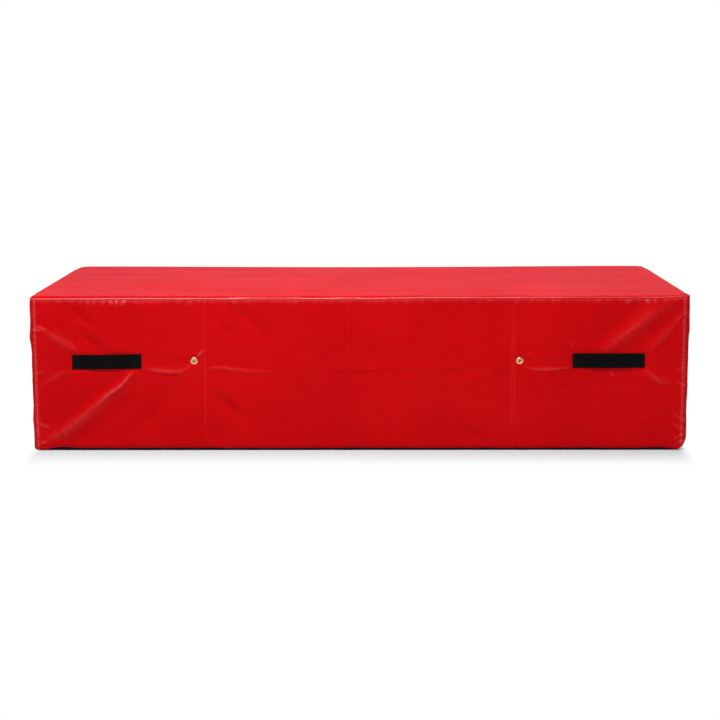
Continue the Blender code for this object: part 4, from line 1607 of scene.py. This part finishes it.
@dataclass
class Vent:
    """A brass eyelet that lets the block breathe, rolled over the cloth on a washer behind it."""

    block: Block
    face: Face
    word: str
    brass: Material
    bore: float = 0.004

    def dimple(self) -> Dimple:
        """Where the eyelet presses the cloth in."""
        (x, _, z), _ = centred("vent_" + self.word)
        return Dimple((x, z), flat=0.0115, far=0.03)

    def make(self, nodes: dict[str, Item]) -> None:
        """Turns the eyelet's rolled section round its middle, and finishes the washer.

        Args:
            nodes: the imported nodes.
        """
        node = "vent_" + self.word
        (x, y, height), (radius, half, _) = centred(node)
        along = x if self.face is Face.FRONT else -x
        crown = abs(y) + half - self.block.depth / 2
        back = 2 * half - crown
        bore, wide = self.bore, radius - self.bore
        section = [(bore, -back + 0.0004), (bore, -0.0012), (bore + 0.0004, 0.0003)]
        rolled = [(0.1, 0.75), (0.3, 0.98), (0.52, 1.0), (0.78, 0.78)]
        section += [(bore + share * wide, high * crown) for share, high in rolled]
        section += [(radius - 0.0003, 0.38 * crown), (radius, 0.0003), (radius - 0.0007, -0.0001)]
        section += [(bore + 0.5 * wide, 0.0002), (bore + 0.0011, -0.0004)]
        section += [(bore + 0.0011, -back + 0.0004), (bore + 0.0006, -back)]
        r, out = spline(section, 3).T
        turn = np.arange(72)[:, None] * math.tau / 72
        points = self.block.wrap(self.face, along + r * np.cos(turn), height + r * np.sin(turn), out)
        item = add_piece(node + "_eyelet", [loft(points[None], torus=True)], self.brass, 60.0)
        settle(item, "block", [node])
        finishes = nodes["vent_washer_" + self.word].data.materials
        finishes.clear()
        finishes.append(self.brass)


@dataclass
class Zip:
    """The zip in the foot of the back: tapes, a chain of moulded teeth, stops, end tabs and rows of thread.

    Its pieces are drawn on its middle line, seen from behind: along to the right, up, and out from
    the tape's middle.
    """

    block: Block
    height: float
    opening: float
    tape: Material
    plastic: Material
    metal: Material
    cloth: Material
    thread: Material
    pitch: float = 0.0045
    cord_edge: float = 0.0019
    tape_thickness: float = 0.0007
    tab_thickness: float = 0.0009
    rows: Pair = (0.0025, 0.0085)
    row_stitching: Stitching = Stitching(0.0036, 0.0029, 0.00038)
    tab_stitching: Stitching = Stitching(0.0031, 0.0026, 0.0004)

    def __post_init__(self) -> None:
        """Reads the levels of the tape and the chain from their nodes."""
        low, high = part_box("zip_tape_upper")
        self.level = (low.y + high.y) / 2 - self.block.depth / 2
        self.tape_run = high.x - low.x
        self.tape_span = (low.z - self.height, high.z - self.height)
        low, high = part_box("zip_teeth_upper")
        self.chain = (-high.x, -low.x)
        self.reach = self.height - low.z
        self.spine = high.z - self.height
        self.half_thick = (high.y - low.y) / 2

    def place(self, rings: Array) -> Array:
        """Brings points from the zip's own place to the block's frame."""
        x, y, z = (rings[..., i] for i in range(3))
        return self.block.wrap(Face.BACK, x, self.height + y, self.level + z)

    def make_tape(self, side: int, word: str) -> None:
        """One tape, with its woven edge a little thicker, lying flat behind the wall."""
        near, far = self.tape_span
        half = self.tape_run / 2
        y = np.array([near, near + 0.0004, near + 0.003, near + 0.0032, (near + far) / 2, far - 0.0006, far])
        x = stations(-half, half, 0.02)
        u, v = np.meshgrid(x, side * y if side > 0 else side * y[::-1])
        lift = self.tape_thickness / 2 + 0.00012 * (np.abs(v) < near + 0.0031)
        points = self.place(joined(u, v, lift))
        node = "zip_tape_" + word
        item = add_piece(node + "_cloth", [Surface(points[None], joined(u, v))], self.tape)
        thicken(settle(item, "block", [node]), self.tape_thickness)
        far - near

    def make_teeth(self, side: int, word: str) -> None:
        """One row: a cord along the tape's edge, and teeth whose waists the other row's heads fill.

        A tooth's half width along the chain follows a bent line from root to waist to head, and
        each section is a rounded rectangle.
        """
        start, end = self.chain
        count = int((end - start - self.pitch) / self.pitch)
        shares = np.array([1.0, 0.7, 0.3, -0.25, -0.8, -1.0])
        across = shares * np.where(shares > 0.0, self.spine, self.reach)
        wide = np.array([0.0011, 0.0015, 0.0012, 0.00088, 0.00118, 0.00085])
        thick = self.half_thick * np.array([0.72, 1.0, 1.0, 0.86, 0.92, 0.7])
        ring = oval(8, 1.0, 1.0, 0.55)
        first = start + self.pitch * (0.5 if side > 0 else 1.0)
        middle = (first + self.pitch * np.arange(count))[:, None, None]
        x = middle + wide[:, None] * ring[:, 0] * side
        teeth = self.place(joined(x, side * across[:, None], thick[:, None] * ring[:, 1]))
        v, out = oval(10, (self.spine - self.cord_edge) / 2, self.half_thick * 0.8, 0.8).T
        v = v + side * (self.spine + self.cord_edge) / 2
        cord = joined(np.linspace(start, end, 60)[:, None], v, out)
        node = "zip_teeth_" + word
        item = add_piece(node + "_chain", [loft(teeth), loft(self.place(cord)[None])], self.plastic, 45.0)
        settle(item, "block", [node])

    def make_stop(self, node: str) -> None:
        """A stop pinched over the chain's end: a slab with well-rounded edges."""
        (x, _, z), (wide, thick, high) = centred(node)
        outline = rounded_outline((wide, high), 0.0007, 0.004) + (-x, z - self.height)
        rings = self.place(slab(outline, -thick, thick, 0.0006))
        item = add_piece(node + "_pinched", [loft(rings)], self.metal, 50.0)
        settle(item, "block", [node])

    def make_tab(self, word: str) -> None:
        """A tab of the cover's cloth sewn over the zip's end, with a row of thread round it."""
        node = "zip_end_tab_" + word
        (place, _, _), (wide, _, high) = centred(node)
        x, y = np.meshgrid(*(stations(-end, end, 0.0015) for end in (wide, high)))
        round_x = x * np.sqrt(1 - 0.1 * (y / high) ** 8)
        round_y = y * np.sqrt(1 - 0.14 * (x / wide) ** 8)
        rim = np.minimum(wide - np.abs(x), high - np.abs(y))
        out = -self.level + 0.0012 + 0.0009 * smooth(rim, 0.0025, 0.007) * (0.8 + 0.2 * np.sin(300 * x))
        out = out - 0.0004 * bell(rim - 0.0026, 0.0012)
        points = self.place(joined(round_x - place, round_y, out))
        item = add_piece(node + "_cloth", [Surface(points[None], joined(x, y))], self.cloth)
        thicken(settle(item, "block", [node]), self.tab_thickness)
        corners = np.array([(-1, -1), (1, -1), (1, 1), (-1, 1), (-1, -1)]) * (wide - 0.003, high - 0.003)
        places, headings = self.tab_stitching.row(corners)
        rings = self.tab_stitching.threads(places - (place, 0.0), headings, -self.level + 0.001)
        thread = add_piece(f"stitching_tab_{word}", [loft(self.place(rings))], self.thread)
        settle(thread, "block")

    def make_rows(self) -> None:
        """Two rows of thread along each side of the opening."""
        reach = self.block.reach(Face.BACK) - 0.012
        surfaces = []
        for side in (-1, 1):
            for gap in self.rows:
                level = side * (self.opening + gap)
                row = self.row_stitching.row([(-reach, level), (reach, level)])
                rings = self.row_stitching.threads(*row, -self.level + 0.00005)
                surfaces.append(loft(self.place(rings)))
        settle(add_piece("stitching_zip", surfaces, self.thread), "block")

    def make(self) -> None:
        """Makes all of it but the slider."""
        for side, word in ((1, "upper"), (-1, "lower")):
            self.make_tape(side, word)
            self.make_teeth(side, word)
            self.make_stop("zip_top_stop_" + word)
        self.make_stop("zip_bottom_stop")
        self.make_tab("left")
        self.make_tab("right")
        self.make_rows()


@dataclass
class Slider:
    """The slider that closes the chain, and its pull on the bridge."""

    zipper: Zip
    metal: Material
    tail: float = 0.0049
    mouth: float = 0.0068
    wing: float = 0.0016
    flange: float = 0.0011
    bridge: float = 0.0034

    def __post_init__(self) -> None:
        """Reads its place and size from its nodes."""
        low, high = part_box("zip_slider")
        self.middle = -(low.x + high.x) / 2
        self.half = (high.x - low.x) / 2
        self.room = self.zipper.half_thick + 0.0003
        low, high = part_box("zip_pull")
        self.pull_level = (low.y + high.y) / 2 - self.zipper.block.depth / 2 - self.zipper.level
        self.pull_thick = high.y - low.y
        self.pull_half = (high.z - low.z) / 2
        self.pull_tip = self.middle + high.x
        self.pull_eye = self.middle + low.x

    def outline(self, inwards: float = 0.0) -> Array:
        """The wing's outline: a narrow tail, a wide mouth and a waisted flank between."""
        tail, mouth, half = self.tail - inwards, self.mouth - inwards, self.half - inwards
        side = [(half, 0.45 * mouth), (half - 0.0012, 0.92 * mouth), (half - 0.003, mouth)]
        side += [(0.2 * half, 0.93 * mouth), (-0.15 * half, 1.04 * tail), (-0.55 * half, tail)]
        side += [(-half + 0.0016, 0.94 * tail), (-half, 0.5 * tail)]
        return spline(side + [(x, -y) for x, y in reversed(side)], 5)

    def arch(self) -> Array:
        """The bridge: a rounded section carried along a half superellipse over the upper wing."""
        turn = np.linspace(0.0, math.pi, 25)
        foot = self.room + self.wing
        x = 0.004 * np.sign(np.cos(turn)) * np.abs(np.cos(turn)) ** 0.55
        z = foot - 0.0004 + (self.bridge + 0.0011) * np.sin(turn) ** 0.55
        heading = np.arctan2(np.gradient(z), np.gradient(x))
        wide, thick = oval(14, 0.0015, 0.0007, 0.7).T
        y = wide * (1 + 0.15 * np.cos(turn) ** 2)[:, None]
        outer_x = x[:, None] - thick * np.sin(heading)[:, None]
        outer_z = z[:, None] + thick * np.cos(heading)[:, None]
        return joined(outer_x, y, outer_z)[None]

    def make_slider(self) -> None:
        """Wings, flanges, the post between them and the bridge, as one piece."""
        room, wing = self.room, self.wing
        shapes = [
            slab(self.outline(), room, room + wing, 0.0006),
            slab(self.outline(), -room - wing, -room, 0.0006),
            slab(self.outline(0.0014), room + wing - 0.0002, room + wing + 0.00015, 0.0003),
            self.arch(),
        ]
        post = oval(16, 0.0029, 0.0015, 1.2) + (self.half - 0.0033, 0.0)
        shapes.append(slab(post, -room - 0.0004, room + 0.0004, 0.0001, 2))
        x = np.linspace(-self.half + 0.0013, self.half - 0.0013, 26)
        bends = np.array([-1.0, -0.15, 0.5, 1.0]) * self.half
        outer = np.interp(x, bends, [self.tail, self.tail, self.mouth, self.mouth])
        wide, thick = oval(10, self.flange / 2, 0.0009, 0.6).T
        for side in (-1, 1):
            for facing in (-1, 1):
                y = side * (outer[:, None] - self.flange / 2 - 0.0001) + wide
                shapes.append(joined(x[:, None], y, facing * (room - 0.0002) + thick)[None])
        surfaces = [loft(self.zipper.place(shape + (self.middle, 0, 0))) for shape in shapes]
        item = add_piece("slider_body", surfaces, self.metal, 45.0)
        settle(item, "slider", ["zip_slider"])

    def make_pull(self) -> None:
        """The pull: an eye round the bridge, a tapering blade with a raised rim, and a rounded tip.

        It lies back along the chain from the slider, towards the middle of the block.
        """
        half, thick, edge = self.pull_half, self.pull_thick / 2, 0.0004
        front, tip = -self.pull_eye, -self.pull_tip
        far = [(front, 0.28), (front - 0.0008, 0.62), (front - 0.005, 0.8), (-0.004, 0.98)]
        far += [(0.45 * tip, 0.92), (0.75 * tip, 0.78), (tip + 0.003, 0.72)]
        far += [(tip + 0.0007, 0.5), (tip, 0.18)]
        far = [(x, share * half) for x, share in far]
        outer = spline(far + [(x, -y) for x, y in reversed(far)], 5)
        eye = oval(len(outer), 0.0041, 0.0024, 0.75) - (0.0015, 0.0)
        first = np.argmin(np.linalg.norm(eye - outer[0], axis=1))
        hole = np.roll(eye, -first, axis=0)
        section = [(outer, edge, -thick), (outer, 0.0, -thick + edge), (outer, 0.0, thick - edge)]
        section += [(outer, edge, thick), (hole, -edge, thick), (hole, 0.0, thick - edge)]
        section += [(hole, 0.0, -thick + edge), (hole, -edge, -thick)]
        rings = np.array([joined(*inset(line, d).T, z) for line, d, z in section])
        rings = rings.transpose(1, 0, 2)[None, :, ::-1] + (self.middle, 0.0, self.pull_level)
        item = add_piece("pull_tab", [loft(self.zipper.place(rings), torus=True)], self.metal, 40.0)
        settle(item, "pull", ["zip_pull"])

    def make(self) -> None:
        """Makes the slider and its pull."""
        self.make_slider()
        self.make_pull()


@dataclass(frozen=True)
class Softbox:
    """A square or oblong lamp that faces a point."""

    name: str
    place: Point
    facing: Point
    size: Pair
    watts: float

    def hang(self) -> None:
        """Adds the lamp."""
        data = bpy.data.lights.new(self.name, "AREA")
        data.shape = "RECTANGLE"
        data.size, data.size_y = self.size
        data.energy = self.watts
        lamp = added(self.name, data)
        lamp.location = self.place
        heading = Vector(self.facing) - Vector(self.place)
        lamp.rotation_euler = heading.to_track_quat("-Z", "Y").to_euler()


@dataclass
class Studio:
    """A pale floor under soft lamps, and the camera at the photograph's place."""

    block: Block
    eye: Point = (0.0258, -5.4383, 1.0835)
    pitch: float = math.radians(9.132)
    yaw: float = math.radians(0.282)
    roll: float = math.radians(0.099)
    lens: float = 82.9
    lamps: tuple[Softbox, ...] = (
        Softbox("overhead", (-0.6, -1.75, 3.1), (0.0, -0.3, 0.3), (1.6, 1.1), 93.0),
        Softbox("front", (-0.9, -5.6, 1.5), (0.0, -0.4, 0.3), (2.6, 1.6), 28.0),
        Softbox("ceiling", (0.55, 1.0, 3.0), (0.3, 0.2, 0.45), (2.6, 1.2), 46.0),
    )

    def set_camera(self) -> None:
        """Turns the camera down by the pitch, then left by the yaw, after a small roll."""
        data = bpy.data.cameras.new("photographer")
        data.lens = self.lens
        data.sensor_width = 36.0
        camera = added("photographer", data)
        turn = Matrix.Rotation(self.yaw, 4, "Z") @ Matrix.Rotation(-self.pitch, 4, "X")
        turn = turn @ Matrix.Rotation(self.roll, 4, "Y") @ Matrix.Rotation(math.pi / 2, 4, "X")
        camera.matrix_world = Matrix.Translation(self.eye) @ turn
        bpy.context.scene.camera = camera

    def lay_floor(self) -> None:
        """A wide pale floor that turns plain white away from the block, to the camera and in gloss. Near the
        long sides its colour is tinted cyan, a painted correction that cancels the red light the block
        bounces on it.
        """
        far = 30.0
        u, v = np.meshgrid([-far, far], [-far, far])
        points = joined(u, v, 0.0)[None]
        shader = Shader.named("studio_floor")
        at = shader.place()
        x, y = shader.parts(at, 0, 1)
        dx = abs(x).maths("MAXIMUM", abs(x) - (self.block.length / 2 - 0.03), 0.0)
        dy = abs(y).maths("MAXIMUM", abs(y) - self.block.depth / 2, 0.0)
        away = dx.maths("SQRT", dx * dx * 36.0 + dy * dy)
        # Painted correction of light: near the long sides the floor is tinted cyan to cancel the red light
        # bounced on it by the block.
        shader.surface(
            Base_Color=shader.mix(dx.step(0.0, 0.1), (0.635, 0.755, 0.755), (0.73, 0.745, 0.745)),
            Roughness=0.85,
            Specular_IOR_Level=0.1,
        )
        white = shader.add("Emission", {}, {"Color": (1.0, 1.0, 1.0), "Strength": 1.0})
        share = away.step(0.0, 0.245) * 0.95 + 0.05
        seen, gloss, clear = shader.rays("Camera", "Glossy", "Transmission")
        share = share * seen.maths("MAXIMUM", seen, gloss.maths("MAXIMUM", gloss, clear))
        plain = Link(shader, shader.tree.nodes["Principled BSDF"].outputs[0])
        both = shader.add("MixShader", {}, {0: share, 1: plain, 2: white})
        shader.put(shader.tree.nodes["Material Output"].inputs["Surface"], both)
        add_piece("studio_floor", [Surface(points, joined(u, v))], shader.owner)

    def light_world(self) -> None:
        """Soft grey light from all round, white to the camera, and dark in gloss from the front."""
        world = bpy.data.worlds.new("studio")
        bpy.context.scene.world = world
        shader = Shader(world)
        out = shader.tree.nodes["World Output"]
        heading = shader.add("TexCoord", {}, {}, "Generated")
        y, z = shader.parts(heading, 1, 2)
        behind = (y + z * 0.6).step(-0.35, 0.55)
        gloss = shader.mix(behind, (0.05, 0.05, 0.05), (0.62, 0.62, 0.74))
        glossy, seen = shader.rays("Glossy", "Camera")
        dome = shader.mix(z.step(-0.2, 0.9), (0.13, 0.13, 0.13), (0.46, 0.46, 0.47))
        colour = shader.mix(glossy, dome, gloss)
        colour = shader.mix(seen, colour, (1.0, 1.0, 1.0))
        light = shader.add("Background", {}, {"Color": colour, "Strength": 1.0})
        shader.put(out.inputs["Surface"], light)

    def make(self) -> None:
        """Sets up the studio."""
        scene = bpy.context.scene
        scene.view_settings.view_transform = "Standard"
        self.set_camera()
        self.lay_floor()
        self.light_world()
        for lamp in self.lamps:
            lamp.hang()


def ridges() -> list[Fold]:
    """The ridges that the handles and the eyelets pull in the front, from the left."""
    below_left = ((-0.69, 0.249), (-0.723, 0.211), (-0.764, 0.181), (-0.826, 0.128), (-0.896, 0.071))
    below_left += ((-0.965, 0.028),)
    upper_strand = ((-0.694, 0.244), (-0.727, 0.206), (-0.768, 0.176), (-0.814, 0.135))
    lower_run = ((-0.79, 0.16), (-0.85, 0.104), (-0.915, 0.058), (-0.98, 0.022))
    side_left = ((-0.874, 0.252), (-0.919, 0.238), (-0.959, 0.214), (-0.982, 0.199))
    above_left = ((-0.977, 0.374), (-0.918, 0.344), (-0.879, 0.318), (-0.853, 0.295))
    to_eyelet = ((-0.668, 0.26), (-0.638, 0.251), (-0.594, 0.245), (-0.542, 0.246), (-0.514, 0.264))
    from_eyelet = ((0.496, 0.266), (0.529, 0.253), (0.589, 0.252), (0.652, 0.258))
    below_right = ((0.869, 0.253), (0.893, 0.229), (0.92, 0.214), (0.958, 0.209))
    above_right = ((0.722, 0.292), (0.79, 0.345), (0.845, 0.385), (0.892, 0.425), (0.927, 0.442))
    above_right += ((0.972, 0.451),)
    outer_right = ((0.87, 0.299), (0.914, 0.341), (0.941, 0.373), (0.968, 0.399), (0.99, 0.409))
    return [
        Fold(below_left, (0.026, 0.013), 0.008, skew=0.75, power=1.15, trough=0.35, shine=0.1),
        Fold(upper_strand, (0.006, 0.006), 0.0048, power=1.5, trough=0.5, shine=0.4),
        Fold(lower_run, (0.022, 0.02), 0.0046, skew=1.3, power=1.2, trough=0.4, shine=0.12),
        Fold(((-0.682, 0.249), (-0.707, 0.23), (-0.733, 0.198)), (0.004, 0.006), 0.0026, shine=0.25),
        Fold(side_left, (0.011, 0.007), 0.0022, shine=0.1),
        Fold(above_left, (0.02, 0.014), 0.0045, trough=0.12, shine=0.12),
        Fold(to_eyelet, (0.01, 0.005), 0.0036, shine=0.22),
        Fold(((-0.668, 0.292), (-0.65, 0.304), (-0.633, 0.318)), (0.007, 0.006), 0.0022),
        Fold(((-0.657, 0.298), (-0.577, 0.306), (-0.515, 0.286)), (0.009, 0.008), 0.001),
        Fold(((-0.502, 0.285), (-0.488, 0.3), (-0.473, 0.317)), (0.0045, 0.0045), 0.0034, shine=0.5),
        Fold(((-0.512, 0.271), (-0.53, 0.25)), (0.006, 0.006), 0.0018, shine=0.1),
        Fold(from_eyelet, (0.008, 0.005), 0.0034, shine=0.22),
        Fold(below_right, (0.015, 0.01), 0.0031, shine=0.13),
        Fold(((0.764, 0.252), (0.771, 0.24), (0.781, 0.227)), (0.003, 0.005), 0.0022, shine=0.25),
        Fold(((0.637, 0.342), (0.645, 0.33), (0.653, 0.315)), (0.005, 0.004), 0.0018, shine=0.1),
        Fold(above_right, (0.02, 0.022), 0.007, power=1.3, trough=0.4, shine=0.1),
        Fold(outer_right, (0.018, 0.012), 0.0024, power=1.2, trough=0.3, shine=0.08),
    ]


def valleys() -> list[Fold]:
    """The soft hollows between the ridges of the front, from the left."""
    over_handle = ((-0.87, 0.385), (-0.837, 0.352), (-0.79, 0.316), (-0.755, 0.292))
    under_crease = ((-0.467, 0.183), (-0.42, 0.156), (-0.376, 0.116), (-0.333, 0.073))
    return [
        Fold(over_handle, (0.014, 0.034), -0.005, trough=0.5),
        Fold(((-0.9, 0.455), (-0.842, 0.411), (-0.803, 0.371)), (0.014, 0.024), -0.004, trough=0.4),
        Fold(((-0.563, 0.242), (-0.588, 0.181), (-0.633, 0.112), (-0.7, 0.05)), (0.03, 0.02), -0.005),
        Fold(((-0.399, 0.455), (-0.348, 0.415), (-0.305, 0.379), (-0.258, 0.334)), (0.014, 0.024), -0.0042),
        Fold(((-0.445, 0.42), (-0.401, 0.375), (-0.36, 0.335)), (0.012, 0.016), -0.0028),
        Fold(under_crease, (0.012, 0.02), -0.0058),
        Fold(((0.3, 0.085), (0.346, 0.054), (0.41, 0.009)), (0.012, 0.016), -0.0048),
        Fold(((0.53, 0.23), (0.56, 0.17), (0.6, 0.11)), (0.02, 0.02), -0.0044),
    ]


def seam_pinches() -> list[Fold]:
    """Short ridges across the left and the right upright seam, where the thread draws the cloth up."""
    pinches = (
        (((-1.006, 0.376), (-0.985, 0.3745), (-0.96, 0.37)), (0.004, 0.005), 0.0026, 0.4),
        (((-0.998, 0.391), (-0.982, 0.385), (-0.945, 0.372)), (0.005, 0.006), 0.0022, 0.3),
        (((-1.0, 0.089), (-0.983, 0.084), (-0.948, 0.07)), (0.006, 0.006), 0.0028, 0.25),
        (((-0.994, 0.072), (-0.986, 0.055), (-0.982, 0.036)), (0.004, 0.004), 0.0024, 0.35),
        (((-0.996, 0.018), (-0.983, 0.022), (-0.955, 0.03)), (0.004, 0.004), 0.0022, 0.35),
        (((-0.998, 0.236), (-0.983, 0.24), (-0.965, 0.243)), (0.004, 0.004), 0.0018, 0.25),
        (((1.004, 0.088), (0.985, 0.098), (0.958, 0.123)), (0.005, 0.005), 0.0022, 0.16),
        (((1.004, 0.064), (0.984, 0.07), (0.956, 0.087)), (0.005, 0.005), 0.0019, 0.13),
        (((1.006, 0.056), (0.984, 0.046), (0.958, 0.031)), (0.004, 0.005), 0.0024, 0.22),
        (((1.004, 0.034), (0.982, 0.026), (0.962, 0.012)), (0.004, 0.004), 0.002, 0.2),
        (((1.004, 0.203), (0.984, 0.207), (0.962, 0.216)), (0.004, 0.004), 0.0022, 0.25),
        (((1.0, 0.262), (0.984, 0.257), (0.968, 0.25)), (0.004, 0.004), 0.002, 0.25),
        (((1.002, 0.425), (0.984, 0.418), (0.955, 0.398)), (0.005, 0.005), 0.0024, 0.2),
    )
    return [Fold(path, width, height, shine=shine, at_seam=True) for path, width, height, shine in pinches]


def eyelet_fans() -> list[Fold]:
    """The small folds that spread from the front's left and right eyelet."""
    left = fan((-0.505, 0.279), (40.0, 300.0), (0.035, 0.08), 0.0013, count=8, seed=5)
    right = fan((0.488, 0.279), (-70.0, 200.0), (0.035, 0.08), 0.0013, count=9, seed=6)
    return left + right


def packing_creases(top: float) -> list[Fold]:
    """The creases that the front keeps from packing: upright ones, then a level one in two parts.

    Args:
        top: height of the wall's upper edge.

    Returns:
        The creases.
    """
    low, high = -0.06, top + 0.06
    thin, sharp = (0.0026, 0.0026), {"power": 1.2, "trough": 0.7}
    level = ((-0.476, 0.2545), (-0.426, 0.259), (-0.382, 0.254), (-0.327, 0.248), (-0.25, 0.246))
    onward = ((-0.28, 0.247), (0.0, 0.252), (0.217, 0.256), (0.348, 0.2585), (0.4, 0.252))
    onward += ((0.47, 0.254),)
    return [
        Fold(((-0.469, high), (-0.471, 0.282), (-0.4715, low)), thin, 0.001, shine=0.1, **sharp),
        Fold(((0.468, high), (0.465, 0.322), (0.463, low)), thin, 0.001, shine=0.1, **sharp),
        Fold(((0.4745, high), (0.473, 0.322), (0.4725, low)), thin, 0.0009, shine=0.08, **sharp),
        Fold(((-0.036, high), (-0.028, 0.35), (-0.023, 0.2)), (0.004, 0.005), 0.001, **sharp),
        Fold(level, (0.004, 0.0085), 0.0031, skew=0.7, power=1.3, shine=0.15),
        Fold(onward, (0.012, 0.006), 0.0017, power=1.2),
    ]


def held_places(handles: Sequence[Handle]) -> list[Patch]:
    """Where straps hold the cloth down: at both sewn ends, and a little along their whole length."""
    patches = []
    for handle in handles:
        for end in (-1, 1):
            middle = handle.along + end * (handle.length / 2 - handle.sewn_end / 2)
            half = (handle.sewn_end / 2 + 0.002, handle.width / 2 + 0.001)
            patches.append(Patch((middle, handle.height), half, soft=0.014))
        half = (handle.length / 2, handle.width / 2)
        patches.append(Patch((handle.along, handle.height), half, soft=0.012, slack=0.25))
    return patches


def main() -> None:
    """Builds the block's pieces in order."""
    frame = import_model()
    logging.basicConfig(level=logging.INFO, format="%(name)s: %(message)s")
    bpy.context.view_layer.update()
    block = Block.from_frame()
    zip_height = centred("zip_bottom_stop")[0][2]
    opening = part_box("cover_back_upper")[0].z - zip_height
    red, navy = RED.material("coated_red_cloth"), NAVY.material("navy_base_cloth")
    webbing, tape = WEBBING.material("black_webbing"), TAPE.material("zip_tape_cloth")
    red_thread, black_thread = RED_THREAD.material("red_thread"), BLACK_THREAD.material("black_thread")
    brass, black_metal = BRASS.material("brass"), BLACK_METAL.material("painted_metal")
    plastic = TEETH.material("moulded_teeth")
    handles, vents = [], []
    for face, word in ((Face.FRONT, "front"), (Face.BACK, "back")):
        for side in ("left", "right"):
            name, sewn_off = f"{word}_{side}", SEWN_OFF.get((face, side), (0.0, 0.0))
            handles.append(Handle(block, face, name, webbing, black_thread, red, *sewn_off))
            vents.append(Vent(block, face, name, brass))
    folds = ridges() + valleys() + seam_pinches() + eyelet_fans() + packing_creases(block.wall_top())
    cover = Cover(
        block,
        red,
        navy,
        folds,
        handles=held_places(handles[:2]),
        eyelets=[vent.dimple() for vent in vents[:2]],
        zip_height=zip_height,
        zip_opening=opening,
        zip_end=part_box("zip_end_tab_right")[1].x,
    )
    Filling(block).make()
    cover.make()
    for handle in handles:
        handle.make()
    for vent in vents:
        vent.make(frame["nodes"])
    zipper = Zip(block, zip_height, opening, tape, plastic, black_metal, red, red_thread)
    zipper.make()
    Slider(zipper, black_metal).make()
    Studio(block).make()


if __name__ == "__main__":
    main()
